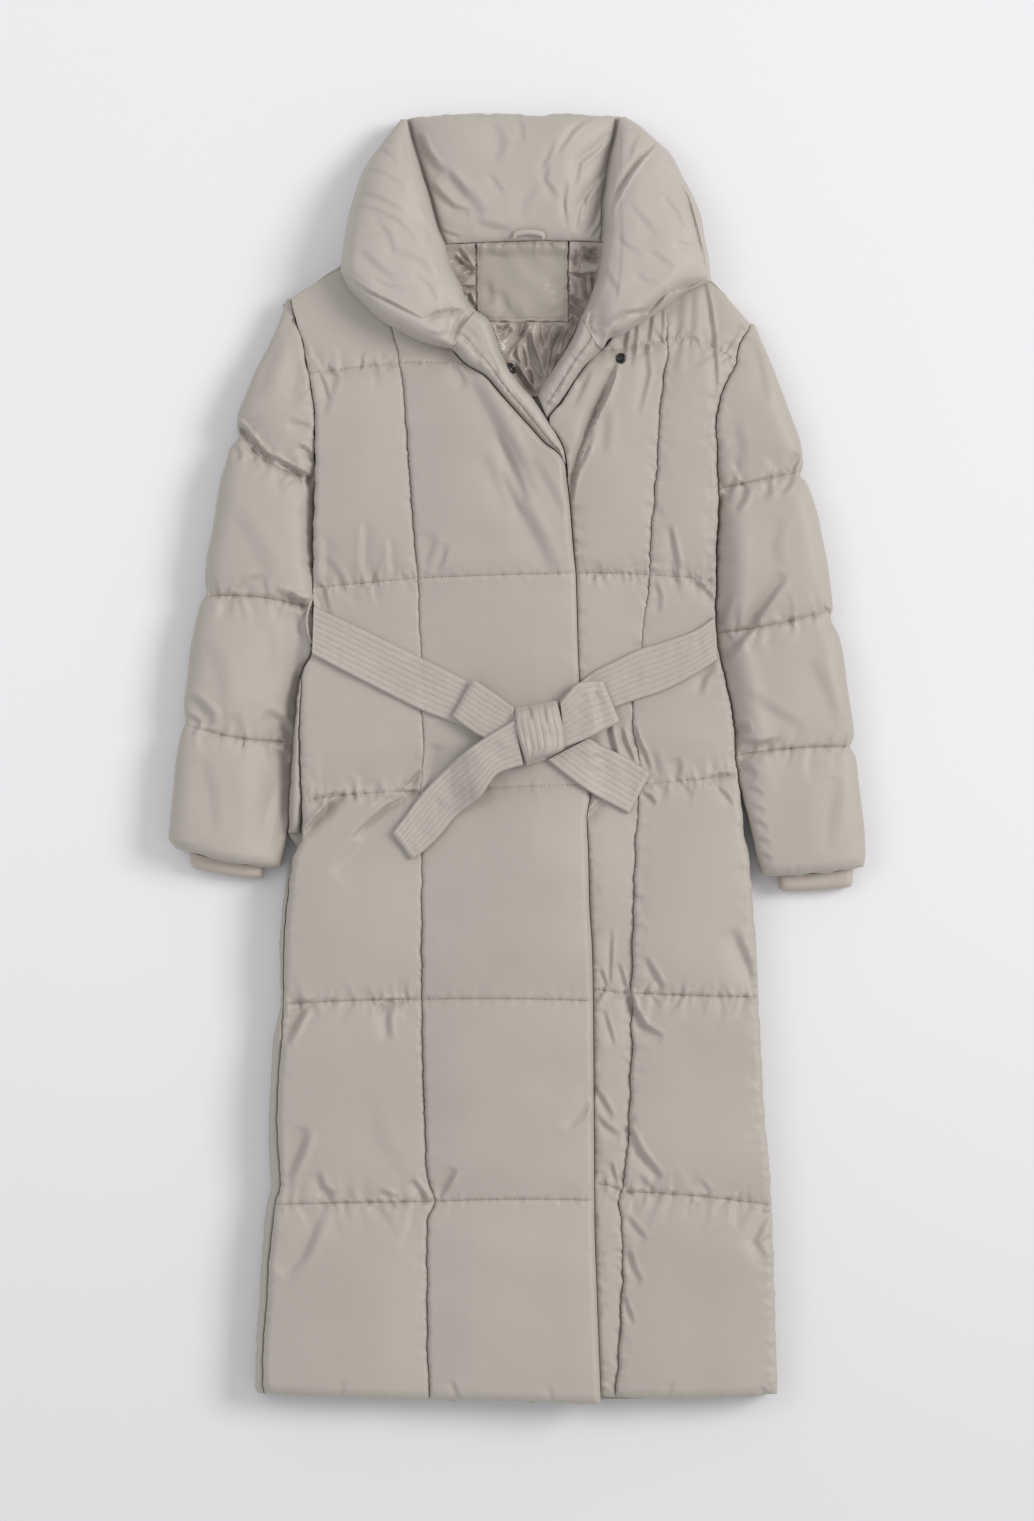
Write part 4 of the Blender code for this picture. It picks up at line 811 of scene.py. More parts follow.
# Stitching that gathers the cloth: spacing, length and depth of the gathers on a panel's rows, and
# on its left and right seams
GATHERS = {
    "front_side_right": ((9.0, 22.0, 2.4), (15.0, 9.0, 1.3)),
    "front_centre_right": ((11.0, 10.0, 1.0), (17.0, 8.0, 1.0)),
    "front_centre_left": ((8.0, 15.0, 2.0), (11.0, 10.0, 1.8)),
    "front_side_left": ((9.0, 22.0, 2.4), (9.0, 12.0, 2.0)),
}
HEM_GATHERS = (12, 9, 1)

BELT_LINES = (((-213, 134), (-50, 58), (20, 30)), ((20, 30), (90, 65), (207, 124)),
              ((20, 30), (-50, -10), (-120, -90)), ((40, 15), (126, -36)))
BELT_PRESS, BELT_PRESS_NEAR, BELT_PRESS_FAR = 0.5, 10.0, 120.0


def belt_press(x, y):
    """Share of its filling that a panel keeps near the belt."""
    near = np.full(np.shape(x), np.inf)
    for line in BELT_LINES:
        for start, end in zip(line[:-1], line[1:]):
            near = np.minimum(near, beside(x, y, start, end)[0])
    return BELT_PRESS + (1 - BELT_PRESS) * ramp(near, BELT_PRESS_NEAR, BELT_PRESS_FAR)


print("creases on the fronts:", len(BODY_CREASES))

# %% Fronts
LIMIT_SOFT = 1.2  # how gently the fronts are kept below the collar
FULL_CREASE = 6.0  # height above the stitching where creases and gathers are at their full depth


def seam_line(edge, low, high, inset):
    y = np.linspace(low, high, 60)
    return np.column_stack([edge(y) + inset, y])


def front_top(name, x, y):
    """Top of a front panel: filled, creased, gathered, pressed by the belt, under the collar."""
    panel = FRONTS[name]
    seed = 100 + list(FRONTS).index(name)
    filling = panel.height(x, y)
    base = FRONT_SEAM + panel.lift * np.clip(
        (x - panel.left(y)) / np.maximum(panel.right(y) - panel.left(y), 1), 0, 1)
    rise = filling - FRONT_SEAM
    keep = np.clip((filling - base) / FULL_CREASE, 0, 1)
    on_rows, on_seams = GATHERS[name]
    low, high = panel.levels[0][1], panel.levels[-1][1]
    lines = [(panel.row_line(level), *on_rows, 0) for level in panel.levels[1:-1]]
    lines += [(panel.row_line(panel.levels[0]), *HEM_GATHERS, 1),
              (seam_line(panel.left, low, high, 0.5), *on_seams, -1),
              (seam_line(panel.right, low, high, -0.5), *on_seams, 1)]
    drop = creases(x, y, BODY_CREASES) + gathers(x, y, lines, seed)
    hills = 1.2 * swell(x, y, 120, seed) + 0.15 * swell(x, y, 40, seed + 50)
    press = belt_press(x, y)
    z = FRONT_SEAM + (rise + keep * hills) * press
    limit = collar_plane(y) - COLLAR_CLEAR + 12 * ramp(COLLAR_LEVEL - y, 0, 50)
    z = z - LIMIT_SOFT * np.logaddexp(0, (z - limit + 1) / LIMIT_SOFT)
    z = z - keep * np.sqrt(press) * drop
    if name == "front_centre_right":
        z = np.maximum(z, lap_plane(x) + LEAST_WALL)
    return np.minimum(np.maximum(z, FRONT_FLOOR + LEAST_WALL), limit + 0.6)


FRONT_ROLL = ((0.35, 0, 0, 0, 0), (0.7, -0.4, -0.6, 0, -0.3), (1, -1.6, -2.2, 0, -0.8))
fronts = {}
for name in ("front_side_right", "front_side_left", "front_centre_right"):
    x, y = FRONTS[name].grid()
    fronts[name] = np.stack([x, y, front_top(name, x, y)], -1)
    rings = (level_floor(FRONT_FLOOR), FRONT_ROLL)
    if name == "front_centre_right":
        rings = (lap_plane, PLAIN)
    piece = skin(name, fronts[name], rings, shell_taffeta, "shell")

# %% [markdown]
# The left front goes on beneath the right one. Only its visible side needs quilting; the hidden
# edge is one more column of points that slips under the lap.

# %% Left front
x, y = FRONTS["front_centre_left"].grid()
z = front_top("front_centre_left", x, y)
edge = x[:, 0].copy()
x[:, 0] += UNDERLAP_STEP
hidden = UNDERLAP_EDGE + (edge - 1 - UNDERLAP_EDGE) * ramp(y[:, 0], 190, 255)
hidden = np.where(y[:, 0] > LAP_TOP, edge, np.minimum(hidden, edge - 1))
below_lap = lap_plane(edge) - GAP
z[:, 0] = np.where(y[:, 0] > LAP_TOP + 20, z[:, 0], np.minimum(z[:, 0], below_lap))
hidden_z = np.where(y[:, 0] > LAP_TOP, np.minimum(below_lap, z[:, 0]), lap_plane(hidden) - GAP)
top = np.stack([np.column_stack([hidden, x]), np.column_stack([y[:, 0], y]),
                np.column_stack([hidden_z, z])], -1)
fronts["front_centre_left"] = top[:, 1:]
piece = skin("front_centre_left", top, (level_floor(FRONT_FLOOR), PLAIN), shell_taffeta, "shell")

# %% [markdown]
# ## The back
# The back carries everything. Its sides bulge between the quilting rows and are drawn in at them,
# it curls in under itself at the floor, and at the right it comes round to the front as a narrow
# strip below the pocket. Its underside is pressed flat, with only the rows left as shallow grooves.

# %% Lines of the neck and the collar
# Collar outlines, from the top corner down
WING_R_INNER = ((-116.5, 665), (-112, 645), (-105, 622), (-100, 605), (-95, 590), (-84, 550),
                (-77, 533), (-70, 510), (-60, 490), (-53, 473), (-44, 464))
WING_R_OUTER = ((-120.5, 665), (-140, 640), (-160, 611), (-170, 582), (-176, 560), (-180, 535),
                (-182.5, 515), (-183, 505))
WING_R_END = ((-44, 464), (-54, 451), (-70, 426), (-84, 428.5), (-100, 433), (-120, 443),
              (-140, 454), (-160, 472), (-174, 487), (-183, 505))
WING_L_INNER = ((106, 667), (104.5, 655), (98, 625), (94, 600), (90.5, 575), (90.5, 555),
                (88, 530), (84, 502), (80, 490), (75, 475), (66, 456))
WING_L_OUTER = ((110, 667.5), (124, 659), (142, 643), (158, 628), (170, 605), (183, 580),
                (190, 560), (193, 540), (197, 520), (199.5, 496))
WING_L_END = ((66, 456), (75, 440), (86, 425), (94, 436), (106, 439.5), (118, 447), (134, 456.5),
              (150, 467), (172, 484), (199.5, 496))
FACING_R_INNER = ((-43.4, 461.5), (-32, 455), (-25, 440), (-18, 420), (-10, 405), (5, 383),
                  (13, 375), (20, 365), (30, 350), (40, 335), (46.8, 320), (49.3, 306))
FACING_R_OUTER = ((-66, 423), (-54.3, 410.8), (-33.3, 396.6), (-19.5, 380.6), (-0.2, 358.6),
                  (11.8, 345.6), (30, 325.9), (41.2, 318), (47, 309.5))
FACING_L_INNER = ((66.2, 451.5), (61, 443), (54.5, 430), (45, 415), (35, 400), (26, 386),
                  (21, 376.3))
FACING_L_OUTER = ((84, 422.8), (77, 416.2), (68, 407), (59.5, 395), (51, 381), (43.8, 370),
                  (30.3, 352.8))
NECK_SEAM = ((-236, 478), (-183, 515), (-110, 532), (-40, 536), (20, 538), (70, 537.3),
             (100, 534.8), (130, 529), (155, 520.5), (200, 500), (241, 452))
COLLAR_FOOT, COLLAR_HEAD = (-181, -76, 86, 194), (-119.5, -113, 104, 109)  # x: ends and wings
COLLAR_TOP = ((-119, 664), (-90, 667), (-40, 669.5), (0, 669), (20, 666.5), (45, 669.5),
              (72, 668), (80, 667), (108, 667.5))
COLLAR_HEIGHT = 668.0
print("neck seam:", round(spans(NECK_SEAM).sum()), "mm long")

# %% Back panel
STRIP_FROM, STRIP_FULL, STRIP_ENDS = -88.0, -112.0, (-660, -115)  # y
STRIP_PROFILE = ((0, -2), (0.12, 6), (0.3, 12), (0.5, 15.5), (0.7, 17), (0.88, 17),
                 (1, 16))
HEM_LOW, HEM_BOW = -669.0, 8.0
SIDE_TUCK, HEM_TUCK = 9.0, 2.0
SIDE_DRAW = 2.0  # how far the side seam is drawn in from the outline
ROLL = (  # share down, then outwards at hem, left side, neck and right side
    (0.10, 0.3, 0.9, 0, 0.9), (0.22, 0.6, 1.6, 0, 1.6), (0.38, 0.8, 2, 0, 2),
    (0.55, 0.6, 1.9, 0, 1.9), (0.70, 0.2, 1, 0, 1), (0.83, -0.3, -1.2, 0, -1.2),
    (0.93, -0.9, -4.2, 0, -4.2), (1, -HEM_TUCK, -SIDE_TUCK, 0, -SIDE_TUCK),
)
GROOVE = 1.4  # depth of a quilting row on the underside
SHOULDER = curve(NECK_SEAM)
BACK_ROWS = [level[1] for level in LEVELS_SIDE_R[:-1]]
BACK_HEAD = 536.0  # the last row of points, before the shoulders' slope is put on
NECK_FROM, NECK_WIDE = -236, 477

strip_columns, across_columns = 9, 40
on_strip = np.s_[:, : strip_columns + 1]
rows = []
for low, high in zip(BACK_ROWS, BACK_ROWS[1:] + [BACK_HEAD]):
    steps = eased(max(8, int((high - low) / 4.5)))
    rows += [low + (high - low) * t for t in steps[:-1]]
share_up = (np.array(rows + [BACK_HEAD]) - BACK_ROWS[0]) / (BACK_HEAD - BACK_ROWS[0])
strip_s = eased(strip_columns)
s = np.concatenate([np.zeros(strip_columns + 1), even(across_columns)[1:]])
hem_y = HEM_LOW + HEM_BOW * (2 * s - 1) ** 2
neck_y = SHOULDER(NECK_FROM + NECK_WIDE * s)
y = hem_y + (neck_y - hem_y) * share_up[:, None]
left, right = SIDE_R(y) + SIDE_DRAW, SIDE_L(y) - SIDE_DRAW
shown = ramp(-y, -STRIP_FROM, -STRIP_FULL)
strip = np.maximum((SEAM_R(y) - SIDE_R(y)) * shown - SIDE_DRAW - 0.6, 1.6)
x = left + strip + (right - left - strip) * s
x[on_strip] = left[on_strip] + (strip[on_strip] - GAP) * strip_s
near_row = np.min([np.abs(y - level) for level in BACK_ROWS], axis=0)
z = np.full(x.shape, BACK_TOP - 0.4)
z[on_strip] = BACK_TOP + (curve(STRIP_PROFILE)(strip_s) * (0.6 + 0.4 * dome(near_row, 30)[on_strip])
                          * shown[on_strip])
strip_gathers = [(seam_line(SIDE_R, *STRIP_ENDS, 2.0), 12.0, 9.0, 1.6, -1),
                 (seam_line(SEAM_R, *STRIP_ENDS, -1.0), 15.0, 8.0, 1.2, 1)]
z[on_strip] -= (gathers(x, y, strip_gathers, 31) * np.clip(z - BACK_TOP, 0, 1))[on_strip]
back_top = np.stack([x, y, z], -1)

# A grooved grid takes the place of the flat underside.
rows, columns = back_top.shape[:2]
points, faces = skin_parts(back_top, (level_floor(0), ROLL))
rim = rim_of(rows, columns)
index = np.zeros((rows, columns), int)
for k, place in enumerate(rim):
    index[place] = rows * columns + (len(ROLL) - 1) * len(rim) + k
t = np.linspace(0, 1, columns)[:, None]
ends = zip(points[index[:, 0], :2], points[index[:, -1], :2])
inner = np.array([a + (b - a) * t for a, b in ends])[1:-1, 1:-1]
x, y = inner[..., 0], inner[..., 1]
to_line = [y - level for level in BACK_ROWS[1:]] + [x - PRINCESS_R(y), x - PRINCESS_L(y)]
lift = np.max([GROOVE * (1 - dome(np.abs(away), 16)) for away in to_line], axis=0)
index[1:-1, 1:-1] = len(points) + np.arange(x.size).reshape(x.shape)
points = np.concatenate([points, np.stack([x, y, lift], -1).reshape(-1, 3)])
quads = np.stack([index[:-1, :-1], index[1:, :-1], index[1:, 1:], index[:-1, 1:]], -1)
faces = [face for face in faces if len(face) < 5] + quads.reshape(-1, 4).tolist()
piece = finish_piece("back_panel", points, faces, shell_taffeta, "shell", "back_panel")

# %% [markdown]
# ## Pocket welt
# A narrow filled strip is sewn into the side seam and turned over the pocket's mouth. It stands a
# little proud of the side panel and thins towards both ends.

# %% Pocket welt
POCKET_ENDS = (-78, 82)
WELT_PROFILE = ((0, 3), (0.15, 8.5), (0.4, 12.5), (0.7, 13), (0.9, 10), (1, 5))
WELT_WALL = 3.0
y = POCKET_ENDS[0] + (POCKET_ENDS[1] - POCKET_ENDS[0]) * eased(60)
left, right = SIDE_R(y) + GAP / 2, SEAM_R(y) - GAP / 2 - 2.2 * ramp(-y, 45, 75)
s = eased(9)
x = left[:, None] + (right - left)[:, None] * s
y = np.repeat(y[:, None], len(s), 1)
end = np.minimum(y - POCKET_ENDS[0], POCKET_ENDS[1] - y) + 2
welt_gathers = [(seam_line(SEAM_R, -74, 80, -1.5), 11.0, 6.0, 0.9, 1)]
z = FRONT_FLOOR + WELT_WALL + curve(WELT_PROFILE)(s) * dome(end, 16)
z = z - gathers(x, y, welt_gathers, 41)
WELT_ROLL = ((0.5, 0, 0, 0, 0.2), (1, 0, 0, 0, -1.5))
piece = skin("pocket_welt_right", np.stack([x, y, z], -1), (level_floor(FRONT_FLOOR), WELT_ROLL),
             shell_taffeta, "shell")

# %% [markdown]
# ## Sleeves
# A sleeve laid flat is a filled tube, pressed on the floor. Three rows of stitching cross it, and
# there the tube is drawn in from the sides and from above, so each stretch looks like a bolster.
# One closed skin per sleeve stands for its upper and its under solid.

# %% Lines and creases of the sleeves
LEVELS_SLEEVE_R = (
    (-93, -108, -113, 0.9), (35, 21, 17, 0.95), (168, 167, 156, 1), (345, 306, 292, 0.85),
    (478, 478, 478, 0),
)
LEVELS_SLEEVE_L = (
    (-122, -120, -113, 0.9), (3, 10, 12, 0.95), (130, 139, 153, 1), (280, 289, 297, 0.85),
    (452, 452, 452, 0),
)

SLEEVE_COLUMNS = ("y", "outer", "inner")
SLEEVE_R = (
    (478, -239.5, -236.5), (460, -246, -232), (425, -262, -222.5), (400, -275, -218.5),
    (375, -285, -214.5), (357, -292, -212), (345, -293, -211.5), (334, -291, -211.3),
    (322, -300, -211.3), (305, -305, -211.3), (290, -310, -211.5), (260, -315, -212.4),
    (230, -320, -213.3), (205, -325, -213.4), (183, -326, -213.4), (172, -324, -214),
    (160, -331, -222), (145, -335, -223), (110, -342, -225), (95, -343.5, -227), (80, -345, -229),
    (55, -348, -231.5), (38, -346.5, -233), (25, -351, -234), (0, -356, -235.5),
    (-40, -360, -238.2), (-70, -363, -240), (-84, -364, -241.5), (-93, -357, -243),
    (-113, -350, -247),
)
SLEEVE_L = (
    (452, 244.5, 241.5), (442, 250, 240), (420, 260, 229), (395, 270, 218), (355, 285, 206.8),
    (325, 295, 206.8), (305, 297, 207.3), (295, 294, 207.6), (285, 301, 208), (270, 307, 208.8),
    (250, 313, 208.8), (225, 318, 207), (200, 323, 206.6), (175, 326, 206.6), (157, 328, 206),
    (147, 326, 205.6), (125, 335, 208), (100, 340, 211.5), (75, 343, 217.5), (50, 347, 222.5),
    (24, 350, 226), (12, 346, 226.8), (0, 352, 228), (-25, 355, 235), (-50, 358, 240.5),
    (-75, 361, 243.5), (-100, 362, 248), (-115, 360, 253), (-122, 356, 255),
)
SLEEVE_SEAM, SLEEVE_PUFF = 33.0, 25.0
ARMHOLE_GAP, SHOULDER_FADE = 0.35, 90.0
SLEEVE_LEAVES = {"right": (-90.0, -60.0), "left": (-90.0, -15.0)}  # y over which it leaves the body
SLEEVE_DRAW = 2.4
SLEEVE_ROW = (0.64, 5, 0.22, 60)
SLEEVE_OUTER = (0.10, 22, 0.25, 60)
SLEEVE_INNER_DRAW, INNER_BULGE = 0.5, 0.2

SLEEVE_CREASES = (
    (19, 27, -222, 166, -229, 110, -235, 50, -240, -10, -247, -70, -252, -118),
    (13, 12, -212, 300, -215, 230, -217, 172),
    (3.4, 9, -298, 352, -291, 346, -278, 332, -269, 320, -255, 307),
    (3, 7.5, -262, 315, -244, 305, -231, 298, -213, 291), (5, 4, -284, 330, -277, 316, -273, 300),
    (4, 3.4, -296, 326, -291, 316, -293, 308), (4, 6, -221, 286, -216, 289, -211, 291),
    (3.4, 5.4, -230, 324, -220, 319, -212, 308), (4, 2.6, -240, 348, -226, 345, -213, 344),
    (4, 2.6, -244, 300, -240, 290, -234, 286), (5, 5, -254, 172, -236, 166, -221, 158),
    (3.4, 5, -240, 170, -230, 163, -220, 157), (5, 3, -290, 172, -276, 184, -262, 186),
    (5, 3.2, -236, 152, -228, 140, -224, 128), (3, 5, -334, 186, -329, 196, -328, 208),
    (6, 5.4, -346, 62, -333, 56, -322, 44, -321, 32), (4, 3.4, -348, 44, -338, 40, -330, 34),
    (6, 6, -264, 46, -248, 38, -235, 20), (4, 3.6, -256, 8, -246, 4, -238, 0),
    (13, 2.6, -300, 252, -280, 222, -264, 182), (12, 2.4, -330, 120, -316, 90, -310, 50),
    (9, 2.4, -262, 140, -258, 100, -262, 60), (9, 2.2, -330, 0, -322, -40, -318, -80),
    (7, 2.2, -252, -20, -262, -60, -270, -95), (10, 3, -250, 440, -262, 405, -272, 372),
    (9, 2.4, -228, 430, -232, 392, -240, 360),
    (16, 10, 208, 276, 209, 215, 209, 150, 214, 95, 224, 45, 231, 0, 238, -50),
    (5.5, 9, 276, 190, 264, 174, 250, 154, 238, 135, 226, 120, 212, 102),
    (4, 5, 219, 170, 214, 154, 210, 138), (5, 4.4, 237, 284, 232, 270, 224, 258),
    (4, 6, 207, 256, 211, 268, 217, 282), (4, 5, 292, 316, 287, 306, 282, 295),
    (4, 3.2, 284, 293, 280, 284, 272, 276), (5, 3, 262, 286, 258, 276, 252, 270),
    (5, 5, 227, 34, 234, 31, 236, 24), (4, 5.6, 227, 20, 238, 15, 252, 14, 271, 19),
    (4, 4, 229, 5, 240, 9, 254, 10, 266, 16), (10, 2.2, 298, 104, 318, 64, 332, 24),
    (8, 2.6, 234, 66, 262, 46, 294, 28), (5, 3.4, 228, -6, 238, -12, 246, -22),
    (3, 2.6, 236, -32, 246, -34, 254, -39), (3, 2.4, 238, -50, 248, -52, 256, -57),
    (3, 2.6, 241, -66, 250, -68, 259, -74), (3, 2.4, 244, -84, 253, -86, 262, -90),
    (3, 2.4, 247, -100, 256, -102, 263, -106), (8, 2.8, 240, 440, 250, 405, 256, 370),
    (8, 2.2, 222, 350, 228, 320, 226, 298), (9, 2.2, 330, -20, 322, -60, 318, -96),
    (8, 2.2, 270, 250, 262, 220, 268, 196),
)


def SLEEVE_INNER(y):
    """The sleeve's inner edge: level with the body at the shoulder, sinking beside it below."""
    sunk = 1 - ramp(y, 300, 350)
    return 0.55 - 0.32 * sunk, 6.0 + 11.0 * sunk, 0.15, 50.0


def sleeve_inner(side, table):
    """A sleeve's inner edge: along the body as far as it lies against it, then its own line."""
    own = line_of(table, SLEEVE_COLUMNS, "inner")
    body, out = (SIDE_R, -1) if side == "right" else (SIDE_L, 1)
    return lambda y: own(y) + (body(y) + out * ARMHOLE_GAP - own(y)) * ramp(y, *SLEEVE_LEAVES[side])


print("creases on the sleeves:", len(SLEEVE_CREASES))

# %% Sleeves
SLEEVE_ROLL = (  # share down, then outwards at the mouth, right, shoulder and left
    (0.08, 0.5, 1.2, 0, 1.2), (0.18, 0.9, 2, 0, 2), (0.32, 1.2, 2.4, 0, 2.4),
    (0.48, 1.2, 2.4, 0, 2.4), (0.64, 0.9, 1.8, 0, 1.8), (0.78, 0.3, 0.2, 0, 0.2),
    (0.89, -0.6, -2.6, 0, -2.6), (0.96, -1.3, -5.6, 0, -5.6), (1, -2, -9, 0, -9),
)
SLEEVE_GATHERS = ((10.0, 22.0, 2.8), (12.0, 10.0, 0.9), (12.0, 16.0, 2.0))  # rows, mouth, armhole
ARMHOLE_FROM = 200.0
sleeves = {}
for side, table, levels in (
    ("right", SLEEVE_R, LEVELS_SLEEVE_R), ("left", SLEEVE_L, LEVELS_SLEEVE_L),
):
    edges = [line_of(table, SLEEVE_COLUMNS, "outer"), sleeve_inner(side, table)]
    shapes = (SLEEVE_OUTER, SLEEVE_INNER)
    if side == "left":
        edges, shapes = edges[::-1], shapes[::-1]
    panel = Panel(*edges, levels, SLEEVE_SEAM, SLEEVE_PUFF, shapes, SLEEVE_ROW)
    inset = (SLEEVE_DRAW, SLEEVE_INNER_DRAW)
    x, y = panel.grid(inset=inset if side == "right" else inset[::-1])
    on_rows, at_mouth, at_armhole = SLEEVE_GATHERS
    inner_edge, way = (edges[1], 1) if side == "right" else (edges[0], -1)
    lines = [(panel.row_line(level), *on_rows, 0) for level in levels[1:-1]]
    lines += [(panel.row_line(levels[0]), *at_mouth, 1),
              (seam_line(inner_edge, ARMHOLE_FROM, levels[-1][1] - 12, 0), *at_armhole, way)]
    rise = panel.height(x, y) - SLEEVE_SEAM
    shoulder = ramp(levels[-1][0] - y, 0, SHOULDER_FADE)
    rise = rise * (0.55 + 0.45 * shoulder)
    keep = np.clip(rise / FULL_CREASE, 0, 1)
    drop = creases(x, y, SLEEVE_CREASES) + gathers(x, y, lines, 51 if side == "right" else 52)
    hills = 1.4 * swell(x, y, 100, 53) + 0.15 * swell(x, y, 40, 54)
    z = SLEEVE_SEAM - 3 + 3 * shoulder + rise - keep * (drop - hills)
    top = np.stack([x, y, z], -1)
    roll = []
    for share, mouth, right, shoulder_end, left in SLEEVE_ROLL:
        tight = INNER_BULGE if right > 0 else 1
        right, left = (right * tight, left) if side == "right" else (right, left * tight)
        roll.append((share, mouth, right, shoulder_end, left))
    piece = skin(f"sleeve_{side}", top, (level_floor(0), roll), shell_taffeta, "shell",
                 f"sleeve_{side}_upper", f"sleeve_{side}_under")
    sleeves[side] = (panel, top)

# %% [markdown]
# ## Inner cuffs
# Each sleeve has a flat inner tube that keeps the wind out. Only its last two centimetres show
# below the sleeve's mouth: smooth cloth, turned in at its edge and a little gathered at the mouth.

# %% Inner cuffs
CUFFS = (("right", 0.12, 0.82, 15.5, 12.5), ("left", 0.17, 0.9, 15.0, 18.5))  # shares, lengths
CUFF_FLOOR, CUFF_TOP = 3.0, 27.0
CUFF_ROWS, CUFF_COLUMNS, CUFF_GATHERS = 10, 36, (9.0, 8.0, 0.8)
CUFF_STEPS = ((0, 1), (0.25, 1), (0.5, 0.99), (0.7, 0.95), (0.84, 0.88), (0.93, 0.78),
              (1, 0.62))
CUFF_ROLL = ((0.3, 0, 0.3, 0.5, 0.3), (0.6, 0, 0.3, 0.5, 0.3), (0.85, 0, -0.8, -0.8, -0.8),
             (1, 0, -2, -3, -2))
for side, first, last, length, last_length in CUFFS:
    panel = sleeves[side][0]
    across = first + (last - first) * eased(CUFF_COLUMNS)
    y = panel.row(panel.levels[0], across)
    mouth = np.stack([panel.left(y) + (panel.right(y) - panel.left(y)) * across, y - 0.9], -1)
    share = (across - first) / (last - first)
    round_end = 4 * dome(np.minimum(share, 1 - share), 0.07) - 4
    fall = length + (last_length - length) * share + round_end + 0.35 * wander(across * 80, 17, 61)
    down = even(CUFF_ROWS)
    height = curve(CUFF_STEPS)(down)
    x = np.repeat(mouth[None, :, 0], CUFF_ROWS + 1, axis=0)
    y = mouth[None, :, 1] - down[:, None] * fall[None]
    edge = 0.62 + 0.38 * dome(np.minimum(share, 1 - share), 0.12)
    z = CUFF_FLOOR + (CUFF_TOP - CUFF_FLOOR) * height[:, None] * edge
    z -= gathers(x, y, [(mouth, *CUFF_GATHERS, -1)], 62) * (down < 0.9)[:, None]
    piece = skin(f"cuff_{side}", np.stack([x, y, z], -1), (level_floor(CUFF_FLOOR), CUFF_ROLL),
                 cuff_taffeta, "cuff_knit")

# %% [markdown]
# ## The collar
# The collar is one long pillow. Its back part stands up from the neck seam and lies flat here; its
# two fronts are turned outwards over the shoulders and lie on them. The wrinkles that cross it
# come from turning a thick pillow: the inner wall is too long for the bend and buckles.

# %% Creases of the collar
COLLAR_BACK_PUFF, WING_WALL, WING_PUFF = 24.0, 12.0, 32.0
WING_R_EDGE = leftright(WING_R_INNER)
WING_L_EDGE = leftright(WING_L_INNER)

COLLAR_BACK_CREASES = (
    (4.9, 5.4, -106, 650, -97, 628, -85, 612, -76, 609),
    (4.3, 4.5, -92, 596, -82, 584, -68, 571, -50, 566), (8.1, 3.4, -80, 606, -58, 585, -38, 560),
    (4.3, 2.6, -76, 609, -64, 596, -54, 582), (3.1, 2.9, 78, 668, 64, 660, 56, 652, 40, 628),
    (3.8, 3.2, 97, 652, 80, 634, 63, 620, 58, 594), (3.1, 2, 0, 668, 3, 654, 4, 640),
    (3.8, 2.6, 30, 618, 26, 600, 40, 580), (3.1, 2.9, 92, 613, 74, 592, 63, 572, 59, 547),
    (3.1, 3.2, 88, 580, 80, 558, 70, 544), (2.5, 2.4, 84, 600, 70, 584, 68, 560),
    (2.5, 2.4, 50, 600, 47, 575, 50, 552), (2.5, 2.6, 88, 560, 84, 549, 78, 541),
    (3.1, 2.2, 36, 640, 30, 625, 22, 612), (5.6, 2.6, -44, 554, -24, 549, -6, 546),
    (7.4, 2.4, -28, 660, -20, 640, -26, 618), (3.8, 1.7, -30, 606, -24, 596, -16, 585),
    (2.5, 2, -92, 556, -76, 546, -60, 541), (7.4, 2.2, 20, 600, 4, 580, 0, 560),
    (3.8, 2.4, 104, 640, 98, 622, 92, 600),
)
WING_CREASES = (
    (3.9, 1.9, -160, 610, -140, 604, -116, 590), (3.9, 1.7, -146, 634, -136, 626, -124, 618),
    (3.9, 2.1, -170, 586, -144, 578, -118, 564),
    (4.5, 2.2, -173, 572, -150, 566, -126, 554, -106, 534),
    (3.2, 1.7, -177, 538, -158, 541, -130, 548), (5.6, 2, -166, 524, -144, 503, -128, 492),
    (5.2, 1.9, -116, 572, -93, 547, -79, 523), (6.4, 1.9, -136, 524, -106, 513, -82, 492),
    (3.2, 1.7, -150, 494, -136, 487, -118, 484), (2.6, 6, -100, 452, -82, 460, -56, 464),
    (2.2, 5, -69, 430, -63, 444, -54, 458), (3.2, 2.1, -96, 440, -82, 436, -70, 440),
    (3.2, 1.7, -122, 640, -116, 620, -108, 604), (4.5, 1.7, -150, 560, -136, 540, -130, 520),
    (3.2, 1.6, -108, 500, -92, 486, -84, 470), (3.2, 1.9, -80, 480, -72, 468, -70, 455),
    (2.6, 7.4, 143, 640, 127, 622, 115, 605, 106, 590, 94, 566),
    (3.2, 1.6, 126, 652, 118, 636, 114, 622), (3.9, 1.9, 149, 617, 158, 607, 167, 598),
    (4.5, 1.9, 114, 572, 128, 556, 142, 540), (4.5, 1.9, 87, 507, 95, 492, 104, 478),
    (3.9, 1.7, 135, 524, 148, 514, 160, 506), (3.2, 1.7, 162, 534, 174, 530, 188, 527),
    (2.4, 7, 200, 497, 184, 491, 170, 488, 154, 483),
    (2.4, 7.4, 154, 484, 146, 474, 135, 463, 124, 459), (2.6, 6, 97, 449, 112, 459, 135, 463),
    (2.2, 5, 80, 437, 73, 448, 76, 461), (3.2, 1.9, 100, 440, 90, 447, 78, 446),
    (3.9, 1.6, 150, 580, 162, 566, 172, 548), (3.2, 1.6, 102, 540, 112, 528, 126, 520),
    (3.2, 1.4, 120, 500, 132, 492, 146, 490),
)
